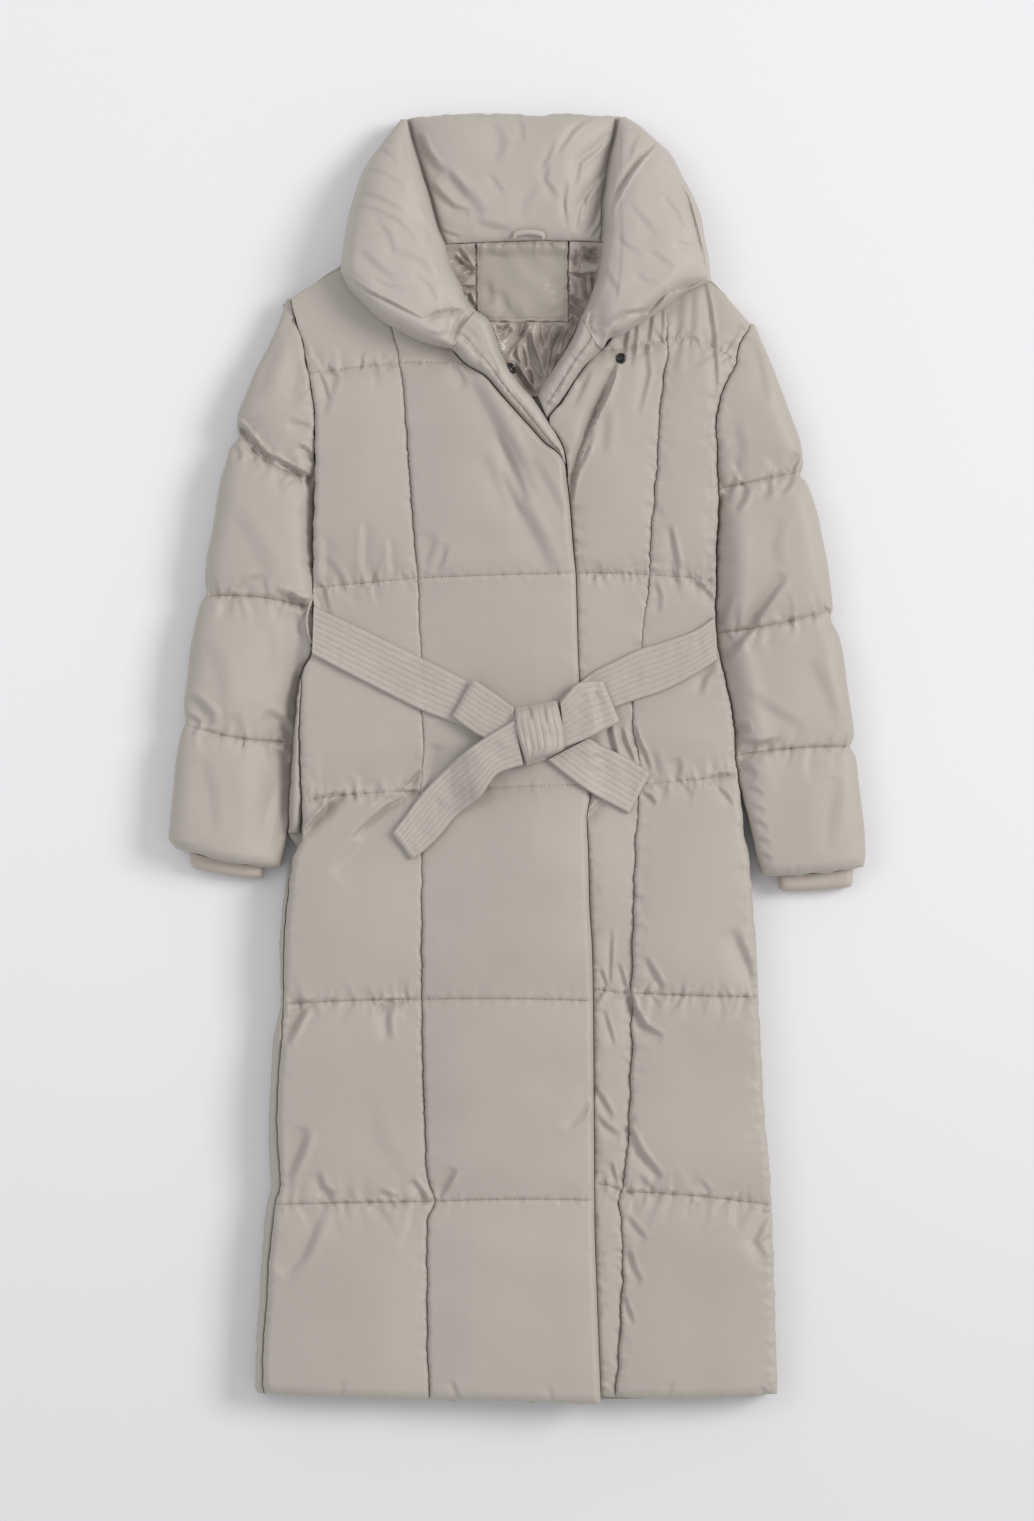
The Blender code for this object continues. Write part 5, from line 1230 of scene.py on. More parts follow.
WING_BANDS = (  # seams near the wings' lower and outer edges
    ((-183, 503), (-175, 497), (-154, 482), (-127, 468), (-97, 452)),
    ((166, 600), (176, 582), (183, 556), (190, 528), (195, 503)),
    ((92, 438), (110, 442), (120, 449), (131, 457), (139, 464), (147, 473), (155, 482), (166, 485),
     (180, 490), (196, 496)),
)


def collar_back_top(x, y):
    """Top of the collar's back: flat under the wings, filled between them."""
    low, high = y - SHOULDER(x), COLLAR_HEIGHT - y
    shown = dome(x - WING_R_EDGE(y) - 3, 60) * dome(WING_L_EDGE(y) - 3 - x, 60)
    fill = shown * (0.15 + 0.85 * dome(low, 90)) * (0.45 + 0.55 * dome(high, 30))
    return collar_plane(y) - COLLAR_CLEAR + COLLAR_BACK_PUFF * fill


print("creases on the collar:", len(COLLAR_BACK_CREASES) + len(WING_CREASES))

# %% Collar back
HIDDEN = 4  # columns of points under each wing
SHOWN, COLLAR_ROWS = 110, 80
NECK_GATHERS, HEAD_GATHERS = (11.0, 13.0, 0.8), (15.0, 12.0, 0.6)
share = eased(SHOWN)
under = np.arange(HIDDEN) / HIDDEN
places = np.concatenate([under, 1 + share, 3 - under[::-1]])
foot_x, head_x = (np.interp(places, range(4), line) for line in (COLLAR_FOOT, COLLAR_HEAD))
steep = np.abs(foot_x - sum(COLLAR_FOOT[1:3]) / 2) > 90
foot = SHOULDER(foot_x) + GAP + steep + 0.1 * wander(foot_x, 13, 71)
head = curve(COLLAR_TOP)(head_x) + 0.5 * wander(head_x, 21, 72) + 0.8
y = foot + (head - foot) * eased(COLLAR_ROWS)[:, None]
edges = [leftright(line) for line in (WING_R_OUTER, WING_L_OUTER)]
right, left = WING_R_EDGE(y) + 3, WING_L_EDGE(y) - 3
x = right + (left - right) * np.concatenate([[0] * HIDDEN, share, [1] * HIDDEN])
for j in range(HIDDEN):
    x[:, j] += (edges[0](y) + 4 - right)[:, j] * (1 - under[j])
    x[:, -1 - j] += (edges[1](y) - 4 - left)[:, -1 - j] * (1 - under[j])
z = collar_back_top(x, y)
keep = np.clip((z - collar_plane(y)) / FULL_CREASE, 0, 1)
neck_line = np.column_stack([np.linspace(-74, 84, 40), SHOULDER(np.linspace(-74, 84, 40)) + 1])
head_line = np.column_stack([np.linspace(-108, 100, 40), np.full(40, COLLAR_HEIGHT - 1)])
drop = creases(x, y, COLLAR_BACK_CREASES) + gathers(
    x, y, [(neck_line, *NECK_GATHERS, 1), (head_line, *HEAD_GATHERS, -1)], 73)
z -= keep * (drop - 1.3 * swell(x, y, 90, 74) - 0.15 * swell(x, y, 36, 75))
BACK_ROLL = (
    (0.10, 0, 0.6, 1, 0.6), (0.22, 0, 1, 1.6, 1), (0.38, 0, 1, 1.8, 1),
    (0.55, 0, 0.4, 1.4, 0.4), (0.72, 0, -0.8, 0.4, -0.8), (0.87, 0, -3.4, -2.6, -3.4),
    (1, 0, -9, -9, -9),
)
piece = skin("collar_back", np.stack([x, y, z], -1), (level_floor(0), BACK_ROLL), collar_lit_taffeta,
             "collar_face")


# %% Patches
def patch(inner, outer, start, end, rows, columns):
    """A grid that fills the four sides of a patch: inner and outer run from start to end."""
    t, s = eased(rows), eased(columns)
    a, b = path(inner, t)[:, None], path(outer, t)[:, None]
    c, d = path(start, s)[None], path(end, s)[None]
    t, s = t[:, None, None], s[None, :, None]
    corners = (a[:1] * (1 - s) + b[:1] * s) * (1 - t) + (a[-1:] * (1 - s) + b[-1:] * s) * t
    return a * (1 - s) + b * s + c * (1 - t) + d * t - corners


def between(first, second, rows, columns):
    """A grid between two paths."""
    a, b = path(first, even(rows)), path(second, even(rows))
    s = even(columns)[None, :, None]
    return a[:, None] * (1 - s) + b[:, None] * s


def rim_distance(points):
    """(from the first column, from the last, from the first row, from the last) in millimetres."""
    across = np.linalg.norm(np.diff(points, axis=1), axis=-1)
    along = np.linalg.norm(np.diff(points, axis=0), axis=-1)
    left = np.concatenate([np.zeros((len(points), 1)), np.cumsum(across, axis=1)], axis=1)
    start = np.concatenate([np.zeros((1, points.shape[1])), np.cumsum(along, axis=0)], axis=0)
    return left, left[:, -1:] - left, start, start[-1:] - start


# %% Collar fronts
def pillow(distance, near, far):
    """Share of the filling's height: most of it within the near reach, the rest by the far one."""
    return 0.6 * dome(distance, near) + 0.4 * np.sin(np.pi / 2 * np.clip(distance / far, 0, 1))


JOINT_FILL = 0.52  # share of the filling's height where a collar front meets its facing
WING_ROWS, WING_COLUMNS = 124, 82
WING_GATHERS = ((9.0, 15.0, 1.2), (10.0, 13.0, 1.2))  # inner edge, outer edge
WING_ROLL = (  # share down, then outwards at the top corner, outer edge, lower edge, inner edge
    (0.12, 0.2, 0.7, 0.6, 0.5), (0.28, 0.3, 1.2, 1, 0.8), (0.46, 0.3, 1.2, 1, 0.6),
    (0.64, 0.1, 0.6, 0.4, -0.2), (0.80, -0.2, -0.8, -0.8, -1.6), (0.92, -0.6, -2.8, -2.6, -3.4),
    (1, -1.2, -5.5, -5, -6),
)
for name, inner, outer, end, joint, inner_reach, seed in (  # joint: share that meets the facing
    ("collar_wing_right", WING_R_INNER, WING_R_OUTER, WING_R_END, 0.243, (26, 60), 81),
    ("collar_wing_left", WING_L_INNER, WING_L_OUTER, WING_L_END, 0.214, (14, 44), 82),
):
    points = patch(inner, outer, (inner[0], outer[0]), end, WING_ROWS, WING_COLUMNS)
    near_inner, near_outer, from_top, from_end = rim_distance(points)
    crown = pillow(near_inner, *inner_reach) * pillow(near_outer, 26, 60)
    crown = crown * dome(from_end, 30) * (0.3 + 0.7 * dome(from_top, 120))
    half = 0.05 + 0.22 * ramp(from_end, 0, 45)
    at_joint = 1 - ramp(eased(WING_COLUMNS), joint - half, joint + half)
    at_joint = at_joint * (1 - ramp(from_end, 0, 60))
    crown = crown * (1 - at_joint) + JOINT_FILL * dome(near_inner, 14) * at_joint
    x, y = points[..., 0], points[..., 1]
    rise = WING_WALL * (0.75 + 0.25 * dome(from_top, 60)) + WING_PUFF * crown
    keep = np.clip((crown - 0.02) * 4, 0, 1)
    way = -1 if "left" in name else 1
    lines = [(inner, *WING_GATHERS[0], way), (outer, *WING_GATHERS[1], -way)]
    drop = creases(x, y, WING_CREASES) + gathers(x, y, lines, seed)
    for band in WING_BANDS:
        drop += crease(x, y, band, 1.6, 4.0)
    hills = 1.0 * swell(x, y, 90, seed) + 0.2 * swell(x, y, 36, seed + 5)
    z = collar_plane(y) + rise - keep * (drop - hills)
    z = np.maximum(z, collar_plane(y) + 6)
    rings = (lambda x, y: collar_plane(y) + 0.05, WING_ROLL)
    piece = skin(name, np.stack([x, y, z], -1), rings, collar_lit_taffeta, "collar_face", strips=True)

# %% [markdown]
# ## Facings
# Where the fronts' edges turn back below the collar, their inner face shows: a narrow padded band
# with one row of stitching along it, which pulls the band into two soft ridges.

# %% Facings
FACING_PUFF = (18.0, 9.0)  # at the collar and at the V, like the walls below
FACING_COLUMNS, STITCH_PULL = 26, 2.0
FACING_GATHERS = ((8.0, 7.0, 0.9), (11.0, 9.0, 0.9))  # along the stitching, along the inner edge
FACING_CREASES = (
    (3, 1.2, -58, 446, -48, 440, -40, 430), (2.6, 1, -50, 428, -44, 418, -38, 402),
    (2.6, 1, -30, 420, -24, 408, -20, 396), (2.6, 0.9, -8, 390, -4, 376, 4, 368),
    (3, 1.3, 60, 420, 54, 408, 50, 396), (3, 1.3, 48, 396, 42, 384, 38, 372),
    (3, 1.2, 72, 432, 66, 424, 62, 410), (2.6, 1.3, 30, 372, 34, 364, 40, 366),
)
FACING_ROLL = ((0.14, 0.2, 0.6, 0.2, 0.8), (0.34, 0.2, 0.8, 0.2, 1.1), (0.6, 0, 0.3, 0, 0.5),
               (0.85, -0.3, -0.8, -0.2, -0.8), (1, -0.5, -2, -0.4, -2))
facing_stitches = {}
for name, inner, outer, collar_end, away, floor, walls, s, rows in (  # s: the stitching's share
    ("front_facing_right", FACING_R_INNER, FACING_R_OUTER, WING_R_END, 0.3, lap_plane, (25, 14),
     0.66, 130),
    ("front_facing_left", FACING_L_INNER, FACING_L_OUTER, WING_L_END, -0.3,
     level_floor(FRONT_FLOOR), (28.5, 14), 0.58, 90),
):
    start = [(x + away, y - GAP) for x, y in collar_end[:3]]  # it meets the collar along its end
    inner, outer = [start[0], *inner[1:]], [start[-1], *outer]
    points = patch(inner, outer, start, (inner[-1], outer[-1]), rows, FACING_COLUMNS)
    near_inner, near_outer, start, end = rim_distance(points)
    x, y = points[..., 0], points[..., 1]
    crown = dome(near_inner, 11) * dome(near_outer, 11) * (0.4 + 0.6 * dome(end, 30))
    fall = ramp(start, 0, 110)
    low, puff = (a + (b - a) * fall for a, b in (walls, FACING_PUFF))
    stitch = points[:, 0] * (1 - s) + points[:, -1] * s
    groove = STITCH_PULL * np.exp(-(((eased(FACING_COLUMNS) - s) / 0.045) ** 2))
    way = -1 if "left" in name else 1
    lines = [(stitch, *FACING_GATHERS[0], 0), (inner, *FACING_GATHERS[1], way)]
    drop = groove * dome(end, 25) + creases(x, y, FACING_CREASES) + gathers(x, y, lines, 91)
    keep = np.clip(crown * 3, 0, 1)
    z = floor(x, y) + low + puff * crown - keep * (drop - 0.25 * swell(x, y, 40, 92))
    facing_stitches[name] = (points, z, s)
    piece = skin(name, np.stack([x, y, z], -1), (floor, FACING_ROLL), collar_lit_taffeta, "collar_face",
                 strips=True)

# %% [markdown]
# ## Lining, neck patch and hanger loop
# The satin lining is cut wider than the back and gathered into the neck seam and under the patch,
# so it falls in uneven folds that run together towards the point of the neckline. The patch
# is the shell cloth, turned in and stitched round. The loop is a folded strip.

# %% Lining
LINING_R = ((376, 13), (383, 5.6), (405, -9.3), (420, -17.3), (440, -24.3), (455, -31.3),
            (464, -43), (472, -60), (490, -70), (510, -80), (535, -88))  # y, x
LINING_L = ((376, 20), (385, 25.4), (400, 34.3), (415, 44.3), (432, 54.3), (448, 62),
            (456, 66.5), (475, 82), (500, 92), (535, 97))  # y, x
PATCH_SIDES, PATCH_ENDS = (-43.0, 52.0), (455.0, 535.5)
LINING_THICK, PATCH_THICK = 3.0, 3.0
LINING_FOLDS = (
    (3.2, 4.4, 10, 443, 13, 428, 19, 413, 23, 402, 26, 390),
    (2.8, 3.4, 8, 453, 3, 440, -5, 431, -13, 421), (2.2, 2.6, 3, 453, -2, 440, -11, 428),
    (2.6, 3.2, -5, 414, 1, 401, 9, 389, 18, 377), (2, 2.4, 11, 405, 14, 398, 15, 388),
    (2.6, 3.6, 41, 436, 37, 424, 34, 412, 31, 402), (2.4, 2.8, 48, 449, 42, 436, 40, 420),
    (2.6, 2.2, 32, 451, 29, 442, 28, 432), (2, 2, 22, 452, 23, 440, 26, 428),
    (2.4, 2.6, -24, 447, -17, 446, -9, 450), (2.2, 2.6, -20, 438, -13, 441, -6, 447),
    (2, 2.4, -2, 432, -3, 420, 2, 408), (2, 2, 31, 426, 29, 412, 27, 400),
    (2.2, 2.2, 4, 430, 7, 418, 8, 406), (2.4, 2.8, 56, 459, 61, 452, 66, 446),
    (2.4, 2.6, 54, 471, 60, 466, 67, 459), (2, 2, 54, 482, 61, 476, 68, 472),
    (2, 4, 72, 505, 73, 490, 74, 476), (1.4, 2.6, 53, 505, 66, 503, 82, 504),
    (2.4, 2.8, 66, 531, 74, 527, 84, 528), (2.4, 2.6, 69, 524, 76, 519, 84, 517),
    (1.8, 2.2, 60, 530, 61, 518, 58, 508), (2, 2.4, 79, 500, 79, 490, 77, 482),
    (2, 2, 57, 500, 62, 492, 63, 482), (1.8, 1.8, 56, 522, 63, 514, 66, 508),
    (2.4, 2.6, -67, 522, -57, 514, -46, 508), (2.2, 2.4, -62, 496, -54, 502, -46, 507),
    (1.8, 1.8, -60, 510, -53, 510, -46, 508), (1.8, 2, -62, 530, -54, 520, -48, 511),
    (1.4, 2.2, -58, 491, -50, 490, -44, 491), (2, 2, -52, 484, -49, 476, -46, 470),
)
LINING_FOOT, LINING_HEAD, LINING_ROWS = 376.5, 532.0, 130
LINING_GATHERS, FOLD_DEPTH = (5.5, 13.0, 1.9), 2.3
edges = curve(LINING_R), curve(LINING_L)
y = LINING_FOOT + (LINING_HEAD - LINING_FOOT) * even(LINING_ROWS)
s = even(LINING_ROWS)
left, right = edges[0](y)[:, None] + 0.4, edges[1](y)[:, None] - 0.4
x = left + (right - left) * s
share_up = (y[:, None] - LINING_FOOT) / (LINING_HEAD - LINING_FOOT)
y = LINING_FOOT + share_up * (SHOULDER(x) - 0.5 - LINING_FOOT)
gather_line = np.column_stack([np.linspace(48, -38, 30), np.full(30, PATCH_ENDS[0] - 1)])
folds = FOLD_DEPTH * creases(x, y, LINING_FOLDS)
folds += gathers(x, y, [(gather_line, *LINING_GATHERS, 1)], 101)
edge_fade = dome(np.minimum(x - left, right - x), 5)
z = FRONT_FLOOR + LINING_THICK + 5.0 + edge_fade * (1.2 * swell(x, y, 26, 102) - folds)
z += 5.5 * ramp(y, 518, 534) + 0.25 * swell(x, y, 9, 105)
z = np.maximum(z, FRONT_FLOOR + 1.2)
under = (x > PATCH_SIDES[0] - 1) & (x < PATCH_SIDES[1] + 1) & (y > PATCH_ENDS[0] - 1)
z = np.where(under, np.minimum(z, FRONT_FLOOR + LINING_THICK), z)
lining = skin("back_lining", np.stack([x, y, z], -1), (level_floor(FRONT_FLOOR), PLAIN),
              lining_satin, "satin_lining")

# %% Neck patch
PATCH_CREASES = (
    (5, 1.8, -32, 496, -30, 484, -31, 472), (6, 2, -17, 486, -15, 474, -13, 462),
    (4, 1.8, 50, 500, 42, 494, 30, 491), (4, 2, 50, 488, 42, 486, 37, 480),
    (4, 1.4, 44, 470, 38, 464, 34, 460), (5, 1.3, -34, 528, -26, 522, -10, 520),
)
PATCH_RIM = (  # start, end, then spacing, length and depth of the gathers
    ((-42, 455.5), (51, 455.5), 10, 12, 1.1), ((51, 456), (51, 534), 9, 10, 1.1),
    ((51, 534), (-42, 534), 11, 9, 1.8), ((-42, 534), (-42, 456), 12, 8, 0.8),
)
middle, half = sum(PATCH_SIDES) / 2, (PATCH_SIDES[1] - PATCH_SIDES[0]) / 2
PATCH_ROWS, PATCH_COLUMNS = 54, 64
x, y = np.meshgrid(PATCH_SIDES[0] + 2 * half * even(PATCH_COLUMNS), even(PATCH_ROWS))
y = PATCH_ENDS[0] + (SHOULDER(x) - 0.1 - PATCH_ENDS[0]) * y  # its top goes into the neck seam
bow = 0.9 * (1 - ((x - middle) / half) ** 2)
y = y - (bow + 0.4 * wander(x, 20, 111)) * (1 - ramp(y, 480, 530))
x = np.maximum(x + 0.5 * wander(y, 24, 112), edges[0](y) + 1)
near = np.min(rim_distance(np.stack([x, y], -1)), axis=0)
floor = FRONT_FLOOR + LINING_THICK + GAP
z = floor + PATCH_THICK * (0.5 + 0.5 * dome(near, 3)) + 1.3 * dome(near, 26)
z -= 0.6 * np.exp(-(((near - 3.0) / 0.8) ** 2))
z += 1.2 * swell(x, y, 34, 113) * dome(near, 10) + 6.5 * ramp(y, 520, 534)
rim_lines = [((start, end), *size, 1) for start, end, *size in PATCH_RIM]
z -= gathers(x, y, rim_lines, 114) * dome(near, 2)
z -= creases(x, y, PATCH_CREASES)
patch_top = np.stack([x, y, z], -1)
neck_patch = skin("neck_patch", patch_top, (level_floor(floor), PLAIN), patch_shaded_taffeta, "shell")

# %% Hanger loop
LOOP_OUTER = ((-6, 539.5), (-5.5, 545), (-2, 547.5), (12, 549), (25, 547), (28.5, 544), (28, 539))
LOOP_INNER = ((-2.5, 539.5), (-2, 541), (-0.5, 542), (12, 543.3), (23, 541.8), (24.5, 541),
              (24.5, 539))
LOOP_SLOPE, LOOP_THICK, LOOP_BOW, LOOP_COLUMNS = 0.15, 2.6, 2.0, 10
points = between(LOOP_OUTER, LOOP_INNER, 60, LOOP_COLUMNS)
x, y = points[..., 0], points[..., 1]
floor = float((collar_back_top(x, y) - LOOP_SLOPE * y).max()) + 0.5
fold = np.sin(np.pi * even(LOOP_COLUMNS)) ** 0.6


def loop_floor(x, y):
    """The strap's underside: sewn down at both ends and standing off the collar between them."""
    return floor + LOOP_SLOPE * y + LOOP_BOW * dome(np.minimum(x + 6, 28.5 - x), 10)


z = loop_floor(x, y) + LOOP_THICK * (0.6 + 0.6 * fold)
rings = (loop_floor, ((0.4, 0, 0.3, 0, 0.3), (1, 0, 0, 0, 0)))
piece = skin("hanger_loop", np.stack([x, y, z], -1), rings, collar_lit_taffeta, "collar_face")

# %% [markdown]
# ## Belt and knot
# The belt is a flat strip of the shell cloth over thin wadding, run through with seven rows of
# stitching, so it has eight low ribs. It bridges the hollows of the waist instead of following
# them, lies in layers where it passes over itself, and is wrapped once round itself in the knot.

# %% Lines of the belt
# The belt: upper and lower edges of each stretch from the knot outwards, and the layer it lies on
# at the knot
BELT = (
    ("belt_run_right", ((-5, 53), (-60, 83), (-120, 113), (-180, 142), (-212, 157)),
     ((1.8, 5), (-36, 22), (-60, 34), (-100, 50), (-160, 80), (-213.5, 108)), 0),
    ("belt_run_left", ((43.5, 60), (66, 79), (80, 90), (100, 100), (125, 112), (150, 120),
                       (185, 133), (204, 146)),
     ((48.1, 24), (72, 40), (101, 53), (120, 60), (150, 70), (180, 85), (207, 102)), 0),
    ("belt_ear_right", ((-5, 52), (-25, 67), (-47, 81)),
     ((1.6, 8), (-36, 21), (-68, 43)), 1),
    ("belt_ear_left", ((44.2, 58), (66, 78.5), (88, 80)),
     ((48.5, 12), (72, 21), (105, 38)), 1),
    ("belt_tail_right", ((-3.5, 39), (-35, 20), (-60, 2), (-75, -12), (-100, -38), (-115, -58),
                         (-130, -78)),
     ((4.5, -7), (-20, -15), (-40, -40), (-65, -60), (-80, -78), (-97, -95), (-110, -105)), 2),
    ("belt_tail_left", ((73.5, 20.5), (90, 11), (113, 0), (137, -16)),
     ((31, -2), (50, -17), (75, -35), (115, -57)), 0),
)
KNOT_LEFT = ((8.5, -5.5), (1, 20), (-2.5, 38), (-2.5, 49))
KNOT_RIGHT = ((27.5, 1), (47.5, 12.5), (46.8, 26), (42.8, 45), (40, 57))
BELT_CLEAR, BRIDGE, BRIDGE_BY_LAYER = 0.7, 9.0, 6.0
BELT_THICK, BELT_RIBS, RIB_RISE = 5.5, 8, 0.36
BELT_LAYER = BELT_THICK + 2.6
KNOT_THICK, KNOT_WALL, KNOT_RIBS = 27.0, 6.0, 7
TAIL_FALL = (48.0, 92.0)  # where the upper tail comes down onto the coat, from the knot
POINTS_PER_RIB = 7


def belt_bed(x, y):
    """Top of whichever front lies at each point, as its filling alone has it."""
    which = sum((x > edge(y)).astype(int) for edge in (PRINCESS_R, RIGHT_EDGE, PRINCESS_L))
    order = ("front_side_right", "front_centre_right", "front_centre_left", "front_side_left")
    press = belt_press(x, y)
    tops = [FRONT_SEAM + (FRONTS[name].height(x, y) - FRONT_SEAM) * press for name in order]
    tops[1] = np.maximum(tops[1], lap_plane(x) + LEAST_WALL)
    return np.choose(which, tops)


def widest_bed(x, y, reach=BRIDGE):
    """The highest that the fronts reach near each point: what a strap that bridges them lies on."""
    around = [(reach * math.cos(a), reach * math.sin(a)) for a in np.linspace(0, 2 * math.pi, 9)]
    return np.max([belt_bed(x + dx, y + dy) for dx, dy in [(0, 0)] + around], axis=0)


def two_faced(name, top, under, bulge, material, slot):
    """A closed skin from an upper and a lower grid of the same size, with a rounded edge."""
    rows, columns = top.shape[:2]
    rim = rim_of(rows, columns)
    count, size = len(rim), rows * columns
    edge = np.array([(top[i, j] + under[i, j]) / 2 for i, j in rim])
    edge[:, :2] += outward(edge[:, :2], 1) * bulge
    points = np.concatenate([top.reshape(-1, 3), under.reshape(-1, 3), edge])
    faces = grid_faces(rows, columns) + grid_faces(rows, columns, size, flip=True)
    upper = np.array([i * columns + j for i, j in rim])
    middle = 2 * size + np.arange(count)
    for above, below in ((upper, middle), (middle, upper + size)):
        faces += ring_faces(above, below)
    return finish_piece(name, points, facing_out(faces, edge), material, slot, name)


print("belt stretches:", ", ".join(row[0] for row in BELT))

# %% Belt
BELT_CREASES = (
    (5, 0.9, -30, 16, -14, 8, 0, 2), (4, 0.8, -26, 2, -12, -2, 2, -3),
    (6, 1, 62, 70, 70, 56, 78, 44), (5, 0.9, 78, 76, 82, 62, 90, 50),
    (5, 1, 56, 54, 66, 46, 74, 34), (5, 0.8, 60, 6, 70, -4, 76, -14),
    (5, 0.9, -90, -40, -78, -52, -66, -58), (6, 0.9, -50, 8, -44, -6, -42, -20),
    (5, 0.8, 122, 104, 124, 88, 122, 70), (5, 0.8, 186, 126, 190, 112, 192, 102),
)
TAIL_ENDS = ("belt_tail_right", "belt_tail_left")
belt_tops = {}
for number, (name, upper, lower, layer) in enumerate(BELT):
    rows, columns = int(spans(upper).sum() / 2.6), BELT_RIBS * POINTS_PER_RIB
    points = between(lower, upper, rows, columns)
    x, y = points[..., 0], points[..., 1]
    near = rim_distance(points)
    along, to_end = near[2:]
    lift = layer * BELT_LAYER
    if layer == 2:
        lift = lift * (1 - ramp(along, *TAIL_FALL))
    bottom = widest_bed(x, y, BRIDGE + BRIDGE_BY_LAYER * layer) + BELT_CLEAR + lift
    step = columns // 4
    column = np.arange(columns + 1)
    bottom = np.array([np.interp(column, column[::step], row[::step]) for row in bottom])
    s = even(columns)
    rib = np.abs(np.sin(np.pi * BELT_RIBS * s)) ** 0.6
    ripple = 0.35 * swell(x, y, 26, 120 + number) + 0.2 * swell(x, y, 9, 130 + number)
    height = BELT_THICK - 0.5 + RIB_RISE * rib * (1 + 0.25 * swell(x, y, 14, 140 + number)) + ripple
    height = height - 1.4 * (1 - dome(np.minimum(s, 1 - s), 0.035))
    if name in TAIL_ENDS:  # the end is turned in and stitched across
        height = height - 0.9 * np.exp(-(((to_end - 8) / 1.1) ** 2)) - 1.6 * (1 - dome(to_end, 3))
    if "ear" in name:  # the loop folds back on itself
        height = height - 2.2 * (1 - dome(to_end, 6))
    height = height - creases(x, y, BELT_CREASES)
    top = np.stack([x, y, bottom + height], -1)
    under = np.stack([x, y, bottom + 0 * x], -1)
    belt_tops[name] = (points, bottom + height)
    piece = two_faced(name, top, under, 0.7, belt_lit_taffeta, "belt")

# %% Knot
KNOT_CREASES = (
    (2.5, 3, 9, 54, 12, 48, 13, 40), (2.5, 1.6, 26, 56, 27, 46, 28, 34),
    (3, 1.6, 14, -4, 14, 8, 12, 20), (3, 1.4, 34, 4, 36, 14, 36, 26),
)
KNOT_ROWS, KNOT_COLUMNS = 52, KNOT_RIBS * 9
points = between(KNOT_LEFT, KNOT_RIGHT, KNOT_ROWS, KNOT_COLUMNS)
x, y = points[..., 0], points[..., 1]
near = rim_distance(points)
crown = dome(near[2], 20) * dome(near[3], 20)
ends = 0.75 + 0.25 * dome(np.minimum(near[0], near[1]), 14)
s = even(KNOT_COLUMNS)
pleat = np.abs(np.sin(np.pi * KNOT_RIBS * s ** 0.9)) ** 0.55
floor = float(widest_bed(x, y).max()) + BELT_CLEAR
rise = KNOT_WALL + (KNOT_THICK - KNOT_WALL) * (0.35 + 0.65 * crown) * ends
z = floor + rise + 1.25 * pleat * (0.5 + 0.5 * crown) - 0.9 + 0.5 * swell(x, y, 22, 151)
z -= creases(x, y, KNOT_CREASES)
KNOT_ROLL = ((0.10, 1.2, 0.5, 1.2, 0.5), (0.25, 2.2, 0.9, 2.2, 0.9), (0.42, 2.6, 1, 2.6, 1),
             (0.62, 2, 0.6, 2, 0.6), (0.82, 0.2, -0.4, 0.2, -0.4), (1, -2.5, -1.5, -2.5, -1.5))
piece = skin("belt_knot", np.stack([x, y, z], -1), (level_floor(floor), KNOT_ROLL), belt_lit_taffeta,
             "belt")

# %% [markdown]
# ## Thread carrier
# The belt is kept at the side seam by a chain of crocheted thread, bowed outwards. Each link is
# about two millimetres long.

# %% Thread carrier
CARRIER_ENDS, CARRIER_BOW, CARRIER_LEVEL = (166.0, 120.0), 5.6, 40.0
LINK = 2.3
t = even(160)
y = CARRIER_ENDS[0] + (CARRIER_ENDS[1] - CARRIER_ENDS[0]) * t
plain_seam = line_of(BODY, BODY_COLUMNS, "seam_r")
line = np.column_stack([plain_seam(y) - 0.95 - CARRIER_BOW * np.sin(np.pi * t), y,
                        CARRIER_LEVEL + 3.0 * np.sin(np.pi * t)])
link = 0.72 + 0.28 * np.abs(np.sin(np.pi * y / LINK))[:, None]
along = np.gradient(line, axis=0)
across = unit(np.cross(along, (0, 0, 1.0)))
up = unit(np.cross(across, along))
sides = 12
angle = 2 * np.pi * np.arange(sides) / sides
points = (line[:, None] + across[:, None] * (1.15 * link * np.cos(angle))[..., None]
          + up[:, None] * (1.7 * link * np.sin(angle))[..., None]).reshape(-1, 3)
pairs = [(i * sides + k, i * sides + (k + 1) % sides)
         for i in range(len(line) - 1) for k in range(sides)]
faces = [(a, a + sides, b + sides, b) for a, b in pairs]
last = len(points) - 1
faces += [tuple(range(sides)), tuple(range(last, last - sides, -1))]
finish_piece("belt_carrier_right", points, faces, carrier_lit_thread, "belt", "belt_carrier_right")

# %% [markdown]
# ## Press stud
# The stud's two halves are stamped discs with a rolled rim. The ball half has a post in its
# middle, the socket half a hole with a spring. Both are turned profiles here.

# %% Press stud
SNAP_BALL, SNAP_SOCKET, SOCKET_AXIS = (107.0, 415.0), (-7.0, 404.8, 45.0), (0.85, 0.53)
BALL_PROFILE = (  # radius and height
    (0, 0), (5.5, 0), (5.8, 0.4), (5.8, 1), (5.5, 1.6), (5, 1.9), (4.4, 1.8), (4, 1.3),
    (3.2, 1), (2.5, 1), (2.2, 1.3), (2, 2.4), (2.1, 2.9), (1.7, 3.2), (1, 3.3), (0, 3.3),
)
SOCKET_PROFILE = (
    (0, 0), (6, 0), (6.4, 0.4), (6.5, 1.4), (6.3, 2.4), (5.6, 3), (4.6, 3.1), (3.4, 3),
    (3, 2.4), (2.8, 1.6), (0, 1.4),
)


